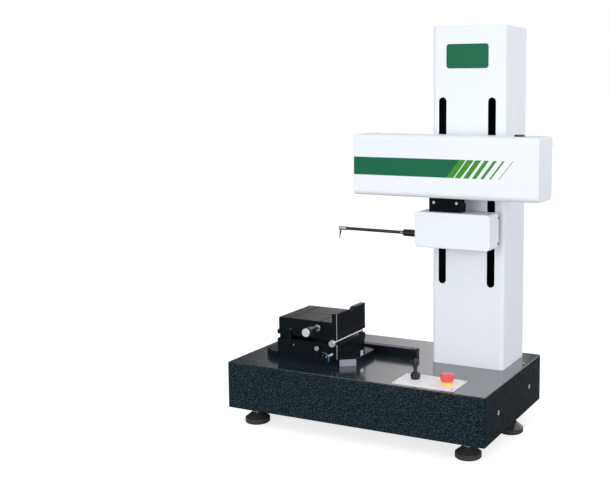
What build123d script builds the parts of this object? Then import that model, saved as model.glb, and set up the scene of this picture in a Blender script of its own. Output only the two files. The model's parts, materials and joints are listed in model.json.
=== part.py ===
from build123d import *
import os
from math import asin, cos, radians, sin

# Surface profile measuring machine on a granite base, in millimetres.
# The origin is the centre of the granite's top face. +X runs to the right along its long side,
# -Y faces the operator and +Z is up.

os.makedirs("parts", exist_ok=True)

# Fits and clearances
running_fit = 0.05
slide_gap = 0.2
free_gap = 0.3
glue_gap = 0.1
edge_break = 1.0
fine_edge_break = 0.8

# Granite base
base_length = 800.0
base_depth = 460.0
base_height = 135.0
base_corner_radius = 4.0
base_edge_chamfer = 2.0

# Levelling feet
foot_height = 50.0
foot_inset_y = 52.0
front_foot_inset_x = 66.0
middle_foot_inset_x = 30.0
middle_foot_y = 55.0
rear_foot_inset_x = 90.0
foot_pad_radius = 36.0
foot_rim_height = 15.0
foot_pad_bevel = 3.0
foot_neck_radius = 17.0
foot_pad_height = 30.0
foot_stud_radius = 8.0
foot_stud_depth = 40.0
foot_hex_flats = 27.0
foot_hex_height = 11.0
foot_hex_gap = 3.0

# Threaded inserts in the granite
insert_pitch_x = 66.0
insert_pitch_y = 55.5
insert_grid_x = 45.0
insert_grid_y = -52.5
insert_radius = 4.0
insert_thread_radius = 2.5
insert_length = 16.0
side_insert_spacing = 256.0
side_insert_z = -70.0
side_insert_radius = 6.5
side_insert_thread_radius = 4.25
side_insert_length = 25.0

# Guide bar behind the adjusting table
guide_bar_left = -330.0
guide_bar_right = 81.0
guide_bar_front = 33.0
guide_bar_width = 24.0
guide_bar_height = 26.0
guide_bar_chamfer = 7.0
guide_bar_screw_inset = 16.0
guide_bar_screw_radius = 3.0
guide_bar_head_radius = 5.0
guide_bar_head_height = 5.0
guide_bar_hex_radius = 2.5

# Column cover
column_right_inset = 152.5
column_front = 21.0
column_width = 218.0
column_depth = 179.0
column_height = 960.0
column_wall = 3.0
column_corner_radius = 11.5
slot_width = 23.0
slot_spacing = 147.4
slot_bottom = 234.0
slot_length = 530.0
column_opening_margin = 22.0
rear_panel_thickness = 2.0
rear_panel_overlap = 8.0
badge_width = 125.0
badge_height = 67.0
badge_thickness = 1.0
badge_corner_radius = 8.0
badge_centre_height = 877.3

# Column post, rails and lift screw
lift_offset_x = -3.9
carriage_clearance = 6.0
carriage_thickness = 20.0
carriage_height = 140.0
carriage_side_margin = 4.0
arm_width = 16.0
arm_height = 115.0
block_width = 34.0
block_length = 44.0
block_height = 34.0
block_distance = 90.0
block_foot_gap = 4.0
rail_width = 15.0
rail_height = 16.0
rail_spacing = 70.0
rail_bottom = 60.0
rail_length = 740.0
post_width = 110.0
post_depth = 92.0
post_height = 860.0
post_foot_width = 180.0
post_foot_thickness = 20.0
post_shelf_thickness = 12.0
post_shelf_overhang = 50.0
lift_screw_radius = 8.0
lift_screw_stand_off = 20.0
lift_journal_radius = 6.0
lift_bracket_width = 40.0
lift_bracket_height = 24.0
lift_bracket_bottom = 20.0
lift_bracket_top_gap = 24.0
lift_bracket_reach = 14.0
lift_bracket_floor = 4.0
lift_nut_width = 28.0
lift_nut_length = 40.0
lift_motor_width = 56.0
lift_motor_height = 70.0
lift_motor_bore_depth = 20.0
lift_motor_corner = 5.0

# Drive unit
drive_gap = 14.0
drive_length = 542.0
drive_depth = 117.0
drive_height = 169.0
drive_bottom = 493.0
drive_offset_x = -18.6
drive_wall = 4.0
drive_edge_radius = 14.0
drive_end_radius = 3.0
lid_thickness = 1.5
lid_side_margin = 16.0
lid_end_margin = 23.0
lid_rim = 8.0
lid_corner_radius = 4.0
gland_right_inset = 73.0
gland_radius = 14.0
gland_height = 5.0
gland_stem_radius = 9.5
gland_stem_length = 7.0
gland_bevel = 2.0

# Traverse inside the drive unit
traverse_travel = 100.0
traverse_slot_end_gap = 5.0
traverse_slot_side_gap = 3.0
traverse_slot_corner = 4.0
chassis_thickness = 10.0
chassis_height = 120.0
chassis_end_margin = 12.0
chassis_bracket_thickness = 12.0
chassis_bracket_depth = 78.0
chassis_bracket_height = 106.0
traverse_motor_width = 42.0
traverse_motor_length = 44.0
traverse_motor_bore_depth = 20.0
traverse_motor_corner = 4.0
guide_depth = 58.0
guide_height = 40.0
guide_back_gap = 9.0
guide_bottom_rise = 66.0
slider_length = 120.0
slider_front_wall = 10.0
slider_back_wall = 5.5
slider_floor = 13.5
slider_roof = 12.0
traverse_screw_radius = 5.0
traverse_journal_radius = 4.0
traverse_screw_rise = 15.0
traverse_nut_width = 24.0
traverse_nut_length = 40.0

# Detector under the drive unit
detector_offset_x = -3.6
detector_front = -79.0
detector_width = 222.0
detector_depth = 70.0
detector_height = 99.0
detector_wall = 2.5
detector_edge_radius = 12.0
detector_face_radius = 3.5
bracket_offset_x = -74.0
bracket_width = 93.0
bracket_depth = 40.0
bracket_height = 41.5
bracket_front = -62.0
bracket_neck_width = 71.0
bracket_neck_depth = 30.0
bracket_drive_gap = 0.5
bracket_notch_depth = 4.0
bracket_notch_height = 17.0
bracket_screw_radius = 4.0
bracket_screw_head = 2.5
bracket_screw_spacing = 67.4
bracket_screw_offset = 2.3
bracket_screw_drop = 15.5
frame_plate_thickness = 5.7
frame_flange_thickness = 10.0
frame_ear_width = 24.0
frame_ear_thickness = 8.0
frame_ear_drop = 14.0
frame_ear_gap = 2.0
side_screw_radius = 3.0
side_screw_head = 1.5
side_screw_inset_z = 14.0

# Stylus arm
pivot_offset_x = 5.0
pivot_z = 385.4
pivot_radius = 4.0
arm_y = -52.0
arm_slope = 0.3
arm_root_inset = 8.0
beam_width = 16.0
beam_height = 10.0
beam_hub_radius = 9.0
beam_tail = 85.0
tail_weight_length = 30.0
tail_weight_height = 24.0
collar_radius = 9.8
collar_length = 52.5
collar_groove_starts = (31.0, 42.0)
collar_groove_width = 1.5
collar_groove_depth = 0.8
ferrule_length = 9.5
ferrule_radius = 6.0
ferrule_rim = 0.6
tube_radius = 4.6
tube_bore_radius = 3.6
tube_length = 174.0
clamp_length = 26.0
clamp_radius = 5.5
arm_port_play = 8.5
arm_port_side_gap = 1.0
stylus_shank_radius = 2.6
stylus_tip_radius = 0.6
stylus_length = 35.0
stylus_shank_length = 10.0
stylus_reach = 4.0
stylus_end_wall = 2.0

# Control panel with joystick and emergency stop
panel_width = 180.0
panel_depth = 100.0
panel_thickness = 2.0
panel_right_inset = 94.0
panel_front_inset = 14.0
panel_corner_radius = 3.0
panel_screw_inset = 6.0
panel_screw_radius = 1.5
panel_screw_head_radius = 3.0
panel_screw_head_height = 1.2
panel_screw_length = 10.0
panel_screw_end_gap = 1.0
well_gap = 1.5
joystick_offset_x = -47.0
joystick_offset_y = 9.0
joystick_pivot_drop = 4.0
boot_radius = 13.5
boot_wall = 1.5
boot_edge_angle = 68.0
boot_neck_angle = 28.0
boot_pleats = 3
boot_pleat_depth = 1.3
boot_top_radius = 4.6
bezel_radius = 17.5
bezel_can_wall = 2.2
bezel_height = 4.9
bezel_bevel = 2.0
bezel_rim = 1.0
bezel_can_depth = 24.0
gimbal_inner_radius = 5.2
gimbal_outer_radius = 8.2
gimbal_height = 5.0
trunnion_radius = 1.2
trunnion_root = 0.5
lever_stem_radius = 2.2
lever_hub = 5.0
grip_bottom_radius = 4.5
grip_top_radius = 8.6
grip_bottom = 23.0
grip_shoulder = 48.0
grip_top = 56.0
dome_flat = 0.5
dome_angle = 42.0
estop_offset_x = 50.0
estop_offset_y = 2.0
estop_collar_radius = 16.5
estop_collar_height = 10.0
estop_body_radius = 11.0
estop_body_depth = 42.0
estop_body_floor = 4.0
estop_collar_bevel = 1.5
estop_travel = 4.0
plunger_radius = 7.0
plunger_neck_radius = 5.0
plunger_neck_length = 8.0
mushroom_radius = 20.0
mushroom_hub_radius = 11.0
mushroom_rim_bottom = 3.0
mushroom_rim_top = 7.0
mushroom_height = 28.0
mushroom_gap = 1.0
crown_angle = 38.0

# Adjusting table
table_width = 302.0
table_depth = 168.7
table_left = -344.0
table_plate_thickness = 20.0
table_corner_x = 38.0
table_corner_y = 29.0
stack_width = 199.5
stack_depth = 172.0
stack_right = -87.0
stack_overhang = 3.0
swivel_thickness = 21.8
swivel_depth = 167.0
swivel_boss_radius = 20.0
swivel_boss_height = 13.0
tilt_base_thickness = 20.5
tilt_gap = 13.0
tilt_pad_width = 28.0
tilt_pad_inset = 2.0
tilt_pad_setback = 10.0
tilt_plate_thickness = 13.1
hinge_inset = 2.0
hinge_lug_reach = 6.0
hinge_lug_length = 10.0
hinge_lug_front = 6.0
hinge_lug_back = 16.0
hinge_pitch = 11.0
hinge_pocket_play = 0.8
rod_radius = 3.5
rod_overhang = 24.0
rod_rise = 9.2
rod_knob_radius = 9.5
rod_knob_length = 12.0
rod_knob_cover = 8.0
table_key_width = 40.0
table_key_height = 6.0
table_top_thickness = 37.0
table_top_inset = 6.0
fence_thickness = 15.3
fence_rise = 26.1
fence_notch_start = 70.0
fence_notch_width = 42.0
fence_notch_depth = 13.0
groove_width = 3.0
groove_depth = 2.0
groove_pitch = 100.0
top_hole_radius = 2.5
top_hole_depth = 6.0
top_hole_pitch_x = 60.0
top_hole_pitch_y = 60.0
swivel_knob_x = -102.2
swivel_knob_rise = 14.0
swivel_knob_radius = 17.2
swivel_knob_rim = 4.0
swivel_knob_rim_length = 9.0
swivel_knob_stand_off = 45.5
swivel_knob_bevel = 1.5
swivel_hub_radius = 6.0
swivel_hub_length = 13.0
swivel_hub_cover = 8.0
swivel_spokes = 3
swivel_spoke_width = 4.0
swivel_spoke_depth = 5.0
swivel_spoke_angle = 100.0
swivel_shaft_radius = 3.0
swivel_shaft_length = 18.0
lock_knob_x = -143.5
lock_knob_rise = 8.2
lock_knob_radius = 7.0
lock_knob_length = 16.0
lock_knob_stand_off = 3.0
lock_shank_radius = 3.0
lock_shank_length = 16.0
clamp_screw_x = -50.0
clamp_screw_y = -60.0
clamp_screw_head_radius = 6.0
clamp_screw_head_height = 12.0
clamp_screw_washer_radius = 7.0
clamp_screw_washer = 2.0
clamp_screw_shank_radius = 3.0
clamp_screw_shank_length = 12.0

# Micrometer that drives the table top
micrometer_x = -148.2
micrometer_rise = 18.7
micrometer_travel = 12.5
sleeve_radius = 6.0
sleeve_flange_radius = 9.0
sleeve_flange_thickness = 2.5
sleeve_length = 31.0
spindle_radius = 3.0
thimble_length = 52.0
thimble_front_radius = 12.5
thimble_back_radius = 8.5
thimble_grip_length = 15.0
thimble_bore_radius = 6.5
thimble_bore_depth = 31.0
stop_post_width = 12.0
stop_post_depth = 10.0
stop_post_height = 30.0
stop_distance = 73.0
stop_pocket_play = 4.0
stop_post_headroom = 1.0
thimble_end_gap = 1.5

# Strap on the front of the tilt plate
strap_x = -243.0
strap_width = 14.0
strap_thickness = 5.0
strap_bottom = 48.0
strap_top_gap = 1.0

# Levels and planes worked out from the sizes above
base_bottom = -base_height
floor = base_bottom - foot_height
base_right = base_length / 2
foot_rows = (
    (front_foot_inset_x, foot_inset_y - base_depth / 2),
    (middle_foot_inset_x, middle_foot_y),
    (rear_foot_inset_x, base_depth / 2 - foot_inset_y),
)
foot_points = [(side * (base_right - inset), foot_y) for side in (-1, 1) for inset, foot_y in foot_rows]

column_x = base_right - column_right_inset
column_back = column_front + column_depth
column_centre_y = column_front + column_depth / 2
lift_x = column_x + lift_offset_x
slot_points = [lift_x - slot_spacing / 2, lift_x + slot_spacing / 2]
slot_middle = slot_bottom + slot_length / 2

drive_back = column_front - drive_gap
drive_centre_y = drive_back - drive_depth / 2
drive_top = drive_bottom + drive_height
drive_middle = drive_bottom + drive_height / 2
drive_x = lift_x + drive_offset_x
drive_left = drive_x - drive_length / 2
drive_right = drive_x + drive_length / 2
gland_x = drive_right - gland_right_inset

carriage_front = column_front + column_wall + carriage_clearance
carriage_back = carriage_front + carriage_thickness
post_front = carriage_back + block_height + block_foot_gap
lift_screw_y = carriage_back + lift_screw_stand_off
upper_bracket_bottom = post_height - lift_bracket_top_gap - lift_bracket_height
shelf_top = post_height + post_shelf_thickness

chassis_back = drive_back - drive_wall
chassis_front = chassis_back - chassis_thickness
chassis_left = drive_left + drive_wall + chassis_end_margin
motor_right = drive_right - drive_wall - chassis_end_margin
right_bracket_left = motor_right - traverse_motor_length - chassis_bracket_thickness
guide_back = chassis_front - guide_back_gap
guide_centre_y = guide_back - guide_depth / 2
guide_bottom = drive_bottom + guide_bottom_rise
guide_top = guide_bottom + guide_height
guide_left = chassis_left + chassis_bracket_thickness
slider_bottom = guide_bottom - slider_floor
slider_top = guide_top + slider_roof
traverse_screw_z = slider_top + traverse_screw_rise

detector_centre_x = lift_x + detector_offset_x
pivot_x = detector_centre_x + pivot_offset_x
bracket_left = detector_centre_x + bracket_offset_x
bracket_x = bracket_left + bracket_width / 2
bracket_back = bracket_front + bracket_depth
bracket_centre_y = bracket_front + bracket_depth / 2
bracket_top = drive_bottom - bracket_drive_gap
detector_top = bracket_top - bracket_height
detector_bottom = detector_top - detector_height
detector_left = detector_centre_x - detector_width / 2
arm_root_x = detector_left + arm_root_inset
detector_back = detector_front + detector_depth
frame_back = detector_back - free_gap
frame_front = frame_back - frame_plate_thickness

table_x = table_left + table_width / 2
table_back = guide_bar_front - free_gap
table_y = table_back - table_depth / 2
table_front = table_back - table_depth
stack_x = stack_right - stack_width / 2
stack_left = stack_right - stack_width
stack_front = table_front - stack_overhang
stack_back = stack_front + stack_depth
stack_y = (stack_front + stack_back) / 2
swivel_bottom = table_plate_thickness + slide_gap
swivel_top = swivel_bottom + swivel_thickness
tilt_base_top = swivel_top + tilt_base_thickness
tilt_plate_bottom = tilt_base_top + tilt_gap
tilt_plate_top = tilt_plate_bottom + tilt_plate_thickness
hinge_x = stack_right - hinge_inset
hinge_z = tilt_base_top + rod_rise
block_bottom = tilt_plate_top + slide_gap
block_top = block_bottom + table_top_thickness
block_width_x = stack_width - table_top_inset - fence_thickness
block_x = stack_right - fence_thickness - block_width_x / 2
micrometer_z = tilt_plate_top + micrometer_rise
swivel_knob_z = table_plate_thickness + swivel_knob_rise
lock_knob_z = swivel_top + lock_knob_rise

panel_x = base_right - panel_right_inset - panel_width / 2
panel_y = -base_depth / 2 + panel_front_inset + panel_depth / 2
joystick_x = panel_x + joystick_offset_x
joystick_y = panel_y + joystick_offset_y
joystick_pivot_z = panel_thickness - joystick_pivot_drop
estop_x = panel_x + estop_offset_x
estop_y = panel_y + estop_offset_y
seat_radius = boot_radius + free_gap
can_radius = seat_radius + bezel_can_wall
panel_screw_x = panel_width / 2 - panel_screw_inset
panel_screw_y = panel_depth / 2 - panel_screw_inset
panel_screw_points = [
    (panel_x + side * panel_screw_x, panel_y + end * panel_screw_y) for side in (-1, 1) for end in (-1, 1)
]


def finish(part, name):
    """Label a finished piece and write it as its own STEP file."""
    part.label = name
    export_step(part, "parts/" + name + ".step")


# Granite base plate with its insert holes, stud holes and the two drilled wells under the panel
with BuildPart() as granite_base:
    with BuildSketch(Plane.XY.offset(base_bottom)):
        RectangleRounded(base_length, base_depth, base_corner_radius)
    extrude(amount=base_height)
    chamfer(granite_base.faces().sort_by(Axis.Z)[-1].edges(), base_edge_chamfer)
    with BuildSketch(Plane.XY.offset(base_bottom)):
        with Locations(*foot_points):
            Circle(foot_stud_radius + glue_gap)
    extrude(amount=foot_stud_depth + free_gap, mode=Mode.SUBTRACT)
    with BuildSketch(Plane.XY):
        with Locations((insert_grid_x, insert_grid_y)):
            with GridLocations(insert_pitch_x, insert_pitch_y, 2, 3):
                Circle(insert_radius + glue_gap)
    extrude(amount=-(insert_length + free_gap), mode=Mode.SUBTRACT)
    for side in (-1, 1):
        with BuildSketch(Plane.YZ.offset(side * base_right)):
            with Locations((0, side_insert_z)):
                with GridLocations(side_insert_spacing, 1, 2, 1):
                    Circle(side_insert_radius + glue_gap)
        extrude(amount=-side * (side_insert_length + free_gap), mode=Mode.SUBTRACT)
    with BuildSketch(Plane.XY):
        with Locations((joystick_x, joystick_y)):
            Circle(can_radius + well_gap)
    extrude(amount=joystick_pivot_z - bezel_can_depth - well_gap, mode=Mode.SUBTRACT)
    with BuildSketch(Plane.XY):
        with Locations((estop_x, estop_y)):
            Circle(estop_body_radius + well_gap)
    extrude(amount=panel_thickness - estop_body_depth - well_gap, mode=Mode.SUBTRACT)
    with BuildSketch(Plane.XY):
        with Locations(*panel_screw_points):
            Circle(panel_screw_radius + glue_gap)
    extrude(amount=-panel_screw_length, mode=Mode.SUBTRACT)
finish(granite_base.part, "granite_base")

# Foot pads: a rimmed cone with a socket for the stud
with BuildPart() as foot_pads:
    for foot_x, foot_y in foot_points:
        with BuildSketch(Plane((foot_x, foot_y, floor), x_dir=(1, 0, 0), z_dir=(0, -1, 0))):
            with BuildLine():
                Polyline(
                    (0, 0),
                    (foot_pad_radius - foot_pad_bevel, 0),
                    (foot_pad_radius, foot_pad_bevel),
                    (foot_pad_radius, foot_rim_height),
                    (foot_neck_radius, foot_pad_height),
                    (foot_stud_radius + free_gap, foot_pad_height),
                    (foot_stud_radius + free_gap, foot_rim_height),
                    (0, foot_rim_height),
                    close=True,
                )
            make_face()
        revolve(axis=Axis((foot_x, foot_y, floor), (0, 0, 1)))
finish(foot_pads.part, "foot_pads")

# Levelling studs that screw into the granite and stand in the pads, each with a spanner hexagon
with BuildPart() as foot_studs:
    with BuildSketch(Plane.XY.offset(floor + foot_rim_height + free_gap)):
        with Locations(*foot_points):
            Circle(foot_stud_radius)
    extrude(amount=foot_height - foot_rim_height - free_gap + foot_stud_depth)
    with BuildSketch(Plane.XY.offset(floor + foot_pad_height + foot_hex_gap)):
        with Locations(*foot_points):
            RegularPolygon(foot_hex_flats / 2, 6, major_radius=False)
    extrude(amount=foot_hex_height)
finish(foot_studs.part, "foot_studs")

# Threaded inserts in the top face
with BuildPart() as top_inserts:
    with BuildSketch(Plane.XY):
        with Locations((insert_grid_x, insert_grid_y)):
            with GridLocations(insert_pitch_x, insert_pitch_y, 2, 3):
                Circle(insert_radius)
                Circle(insert_thread_radius, mode=Mode.SUBTRACT)
    extrude(amount=-insert_length)
finish(top_inserts.part, "top_inserts")

# Threaded inserts in both ends, for lifting eyes
with BuildPart() as side_inserts:
    for side in (-1, 1):
        with BuildSketch(Plane.YZ.offset(side * base_right)):
            with Locations((0, side_insert_z)):
                with GridLocations(side_insert_spacing, 1, 2, 1):
                    Circle(side_insert_radius)
                    Circle(side_insert_thread_radius, mode=Mode.SUBTRACT)
        extrude(amount=-side * side_insert_length)
finish(side_inserts.part, "side_inserts")

# Guide bar that the table is pushed against, with counterbored screw holes
guide_bar_length = guide_bar_right - guide_bar_left
guide_bar_x = (guide_bar_left + guide_bar_right) / 2
guide_bar_y = guide_bar_front + guide_bar_width / 2
guide_screw_points = [
    (guide_bar_right - guide_bar_screw_inset, guide_bar_y),
    (guide_bar_left + guide_bar_screw_inset, guide_bar_y),
]
with BuildPart() as guide_bar:
    with BuildSketch(Plane.XY):
        with Locations((guide_bar_x, guide_bar_y)):
            Rectangle(guide_bar_length, guide_bar_width)
    extrude(amount=guide_bar_height)
    chamfer(guide_bar.edges().filter_by(Axis.Z).group_by(Axis.Y)[0].sort_by(Axis.X)[-1], guide_bar_chamfer)
    chamfer(guide_bar.faces().sort_by(Axis.Z)[-1].edges(), edge_break)
    with Locations(*[(x, y, guide_bar_height) for x, y in guide_screw_points]):
        CounterBoreHole(
            guide_bar_screw_radius + free_gap,
            guide_bar_head_radius + free_gap,
            guide_bar_head_height + free_gap,
        )
finish(guide_bar.part, "guide_bar")

# Socket screws sunk in the guide bar
with BuildPart() as guide_bar_screws:
    head_seat = guide_bar_height - guide_bar_head_height - free_gap
    with BuildSketch(Plane.XY.offset(head_seat)):
        with Locations(*guide_screw_points):
            Circle(guide_bar_head_radius)
    extrude(amount=guide_bar_head_height)
    with BuildSketch(Plane.XY.offset(head_seat)):
        with Locations(*guide_screw_points):
            Circle(guide_bar_screw_radius)
    extrude(amount=-(head_seat - free_gap))
    with BuildSketch(Plane.XY.offset(head_seat + guide_bar_head_height)):
        with Locations(*guide_screw_points):
            RegularPolygon(guide_bar_hex_radius, 6)
    extrude(amount=-guide_bar_head_height / 2, mode=Mode.SUBTRACT)
finish(guide_bar_screws.part, "guide_bar_screws")

# Column cover: a folded and welded shell with two slots in front and an opening behind
with BuildPart() as column_cover:
    with BuildSketch(Plane.XY):
        with Locations((column_x, column_centre_y)):
            RectangleRounded(column_width, column_depth, column_corner_radius)
    extrude(amount=column_height)
    fillet(column_cover.faces().sort_by(Axis.Z)[-1].edges(), column_wall)
    with BuildSketch(Plane.XY):
        with Locations((column_x, column_centre_y)):
            RectangleRounded(
                column_width - 2 * column_wall,
                column_depth - 2 * column_wall,
                column_corner_radius - column_wall,
            )
    extrude(amount=column_height - column_wall, mode=Mode.SUBTRACT)
    with BuildSketch(Plane.XZ.offset(-column_front - column_wall)):
        with Locations(*[(x, slot_middle) for x in slot_points]):
            SlotOverall(slot_length, slot_width, rotation=90)
    extrude(amount=2 * column_wall, mode=Mode.SUBTRACT)
    with BuildSketch(Plane.XZ.offset(-column_back)):
        with Locations((column_x, column_height / 2)):
            RectangleRounded(
                column_width - 2 * column_opening_margin,
                column_height - 2 * column_opening_margin,
                column_corner_radius,
            )
    extrude(amount=column_wall, mode=Mode.SUBTRACT)
finish(column_cover.part, "column_cover")

# Panel over the rear opening
with BuildPart() as column_rear_panel:
    with BuildSketch(Plane.XZ.offset(-column_back)):
        with Locations((column_x, column_height / 2)):
            RectangleRounded(
                column_width - 2 * column_opening_margin + 2 * rear_panel_overlap,
                column_height - 2 * column_opening_margin + 2 * rear_panel_overlap,
                column_corner_radius,
            )
    extrude(amount=-rear_panel_thickness)
finish(column_rear_panel.part, "column_rear_panel")

# Bare badge plate at the head of the column
with BuildPart() as column_badge:
    with BuildSketch(Plane.XZ.offset(-column_front)):
        with Locations((lift_x, badge_centre_height)):
            RectangleRounded(badge_width, badge_height, badge_corner_radius)
    extrude(amount=badge_thickness)
finish(column_badge.part, "column_badge")

# Column post: a foot, a pillar, two screw brackets and the motor shelf, cast in one piece
post_centre_y = post_front + post_depth / 2
journal_floor = lift_bracket_bottom + lift_bracket_floor
with BuildPart() as column_post:
    with BuildSketch(Plane.XY):
        with Locations((lift_x, post_centre_y)):
            Rectangle(post_foot_width, post_depth)
    extrude(amount=post_foot_thickness)
    with BuildSketch(Plane.XY.offset(post_foot_thickness)):
        with Locations((lift_x, post_centre_y)):
            Rectangle(post_width, post_depth)
    extrude(amount=post_height - post_foot_thickness)
    with BuildSketch(Plane.XY.offset(post_height)):
        with Locations((lift_x, post_front - post_shelf_overhang)):
            Rectangle(post_width, post_depth + post_shelf_overhang, align=(Align.CENTER, Align.MIN))
    extrude(amount=post_shelf_thickness)
    for bracket_bottom in (lift_bracket_bottom, upper_bracket_bottom):
        with BuildSketch(Plane.XY.offset(bracket_bottom)):
            with Locations((lift_x, post_front)):
                Rectangle(
                    lift_bracket_width,
                    post_front - lift_screw_y + lift_bracket_reach,
                    align=(Align.CENTER, Align.MAX),
                )
        extrude(amount=lift_bracket_height)
    with BuildSketch(Plane.XY.offset(journal_floor)):
        with Locations((lift_x, lift_screw_y)):
            Circle(lift_journal_radius + running_fit)
    extrude(amount=shelf_top, mode=Mode.SUBTRACT)
finish(column_post.part, "column_post")

# Linear rails on the front of the post
with BuildPart() as lift_rails:
    with BuildSketch(Plane.XY.offset(rail_bottom)):
        with Locations((lift_x, post_front)):
            with GridLocations(rail_spacing, 1, 2, 1):
                Rectangle(rail_width, rail_height, align=(Align.CENTER, Align.MAX))
    extrude(amount=rail_length)
finish(lift_rails.part, "lift_rails")

# Lift screw with a thin journal at each end; the upper one runs on into the motor
screw_thread_bottom = lift_bracket_bottom + lift_bracket_height + free_gap
screw_thread_top = upper_bracket_bottom - free_gap
with BuildPart() as lift_screw:
    with BuildSketch(Plane((lift_x, lift_screw_y, 0), x_dir=(1, 0, 0), z_dir=(0, -1, 0))):
        with BuildLine():
            Polyline(
                (0, journal_floor + free_gap),
                (lift_journal_radius, journal_floor + free_gap),
                (lift_journal_radius, screw_thread_bottom),
                (lift_screw_radius, screw_thread_bottom),
                (lift_screw_radius, screw_thread_top),
                (lift_journal_radius, screw_thread_top),
                (lift_journal_radius, shelf_top + lift_motor_bore_depth - free_gap),
                (0, shelf_top + lift_motor_bore_depth - free_gap),
                close=True,
            )
        make_face()
    revolve(axis=Axis((lift_x, lift_screw_y, 0), (0, 0, 1)))
finish(lift_screw.part, "lift_screw")

# Lift motor on the shelf
with BuildPart() as lift_motor:
    with BuildSketch(Plane.XY.offset(shelf_top)):
        with Locations((lift_x, lift_screw_y)):
            RectangleRounded(lift_motor_width, lift_motor_width, lift_motor_corner)
    extrude(amount=lift_motor_height)
    with BuildSketch(Plane.XY.offset(shelf_top)):
        with Locations((lift_x, lift_screw_y)):
            Circle(lift_journal_radius + running_fit)
    extrude(amount=lift_motor_bore_depth, mode=Mode.SUBTRACT)
finish(lift_motor.part, "lift_motor")

# Lift carriage: a plate inside the cover with two arms out through the slots
with BuildPart() as lift_carriage:
    with BuildSketch(Plane.XZ.offset(-carriage_back)):
        with Locations((lift_x, drive_middle)):
            Rectangle(slot_spacing + arm_width + 2 * carriage_side_margin, carriage_height)
    extrude(amount=carriage_thickness)
    fillet(lift_carriage.edges().filter_by(Axis.Y), carriage_side_margin)
    with BuildSketch(Plane.XZ.offset(-carriage_front)):
        with Locations(*[(x, drive_middle) for x in slot_points]):
            Rectangle(arm_width, arm_height)
    extrude(amount=carriage_front - drive_back)
finish(lift_carriage.part, "lift_carriage")

# Four rail blocks that carry the carriage
with BuildPart() as lift_blocks:
    with BuildSketch(Plane.XZ.offset(-carriage_back)):
        with Locations((lift_x, drive_middle)):
            with GridLocations(rail_spacing, block_distance, 2, 2):
                Rectangle(block_width, block_length)
    extrude(amount=-block_height)
    with BuildSketch(Plane.XY.offset(drive_middle - carriage_height)):
        with Locations((lift_x, post_front)):
            with GridLocations(rail_spacing, 1, 2, 1):
                Rectangle(
                    rail_width + 2 * free_gap,
                    rail_height + free_gap,
                    align=(Align.CENTER, Align.MAX),
                )
    extrude(amount=2 * carriage_height, mode=Mode.SUBTRACT)
finish(lift_blocks.part, "lift_blocks")

# Lift nut: a round-backed block on the carriage
with BuildPart() as lift_nut:
    with BuildSketch(Plane.XY.offset(drive_middle - lift_nut_length / 2)):
        with Locations((lift_x, carriage_back)):
            Rectangle(lift_nut_width, lift_screw_stand_off, align=(Align.CENTER, Align.MIN))
        with Locations((lift_x, lift_screw_y)):
            Circle(lift_nut_width / 2)
            Circle(lift_screw_radius + running_fit, mode=Mode.SUBTRACT)
    extrude(amount=lift_nut_length)
finish(lift_nut.part, "lift_nut")

# Drive housing: a rounded tube with a lid recess above and the traverse slot below
inner_edge_radius = drive_edge_radius - drive_wall
housing_length = drive_length - 2 * drive_wall
lid_length = drive_length - 2 * lid_end_margin
lid_width = drive_depth - 2 * lid_side_margin
with BuildPart() as drive_housing:
    with BuildSketch(Plane.YZ.offset(drive_left + drive_wall)):
        with Locations((drive_centre_y, drive_middle)):
            RectangleRounded(drive_depth, drive_height, drive_edge_radius)
            RectangleRounded(
                drive_depth - 2 * drive_wall,
                drive_height - 2 * drive_wall,
                inner_edge_radius,
                mode=Mode.SUBTRACT,
            )
    extrude(amount=housing_length)
    with BuildSketch(Plane.XY.offset(drive_top)):
        with Locations((drive_x, drive_centre_y)):
            RectangleRounded(lid_length + 2 * free_gap, lid_width + 2 * free_gap, lid_corner_radius)
    extrude(amount=-lid_thickness, mode=Mode.SUBTRACT)
    with BuildSketch(Plane.XY.offset(drive_top)):
        with Locations((drive_x, drive_centre_y)):
            RectangleRounded(lid_length - 2 * lid_rim, lid_width - 2 * lid_rim, lid_corner_radius)
    extrude(amount=-2 * drive_wall, mode=Mode.SUBTRACT)
    with BuildSketch(Plane.XY.offset(drive_bottom)):
        with Locations((bracket_x, bracket_centre_y)):
            RectangleRounded(
                bracket_neck_width + 2 * traverse_travel + 2 * traverse_slot_end_gap,
                bracket_neck_depth + 2 * traverse_slot_side_gap,
                traverse_slot_corner,
            )
    extrude(amount=drive_wall, mode=Mode.SUBTRACT)
finish(drive_housing.part, "drive_housing")

# End plates of the drive housing, left and right
with BuildPart() as drive_end_plates:
    for side in (-1, 1):
        with BuildSketch(Plane.YZ.offset(drive_x + side * (drive_length / 2 - drive_wall))):
            with Locations((drive_centre_y, drive_middle)):
                RectangleRounded(drive_depth, drive_height, drive_edge_radius)
        extrude(amount=side * drive_wall)
    outer_faces = drive_end_plates.faces().sort_by(Axis.X)
    fillet(outer_faces[0].edges() + outer_faces[-1].edges(), drive_end_radius)
finish(drive_end_plates.part, "drive_end_plates")

# Lid let into the top of the housing, with a hole for the gland
with BuildPart() as drive_top_lid:
    with BuildSketch(Plane.XY.offset(drive_top - lid_thickness)):
        with Locations((drive_x, drive_centre_y)):
            RectangleRounded(lid_length, lid_width, lid_corner_radius)
        with Locations((gland_x, drive_centre_y)):
            Circle(gland_stem_radius + free_gap, mode=Mode.SUBTRACT)
    extrude(amount=lid_thickness)
finish(drive_top_lid.part, "drive_top_lid")

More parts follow.
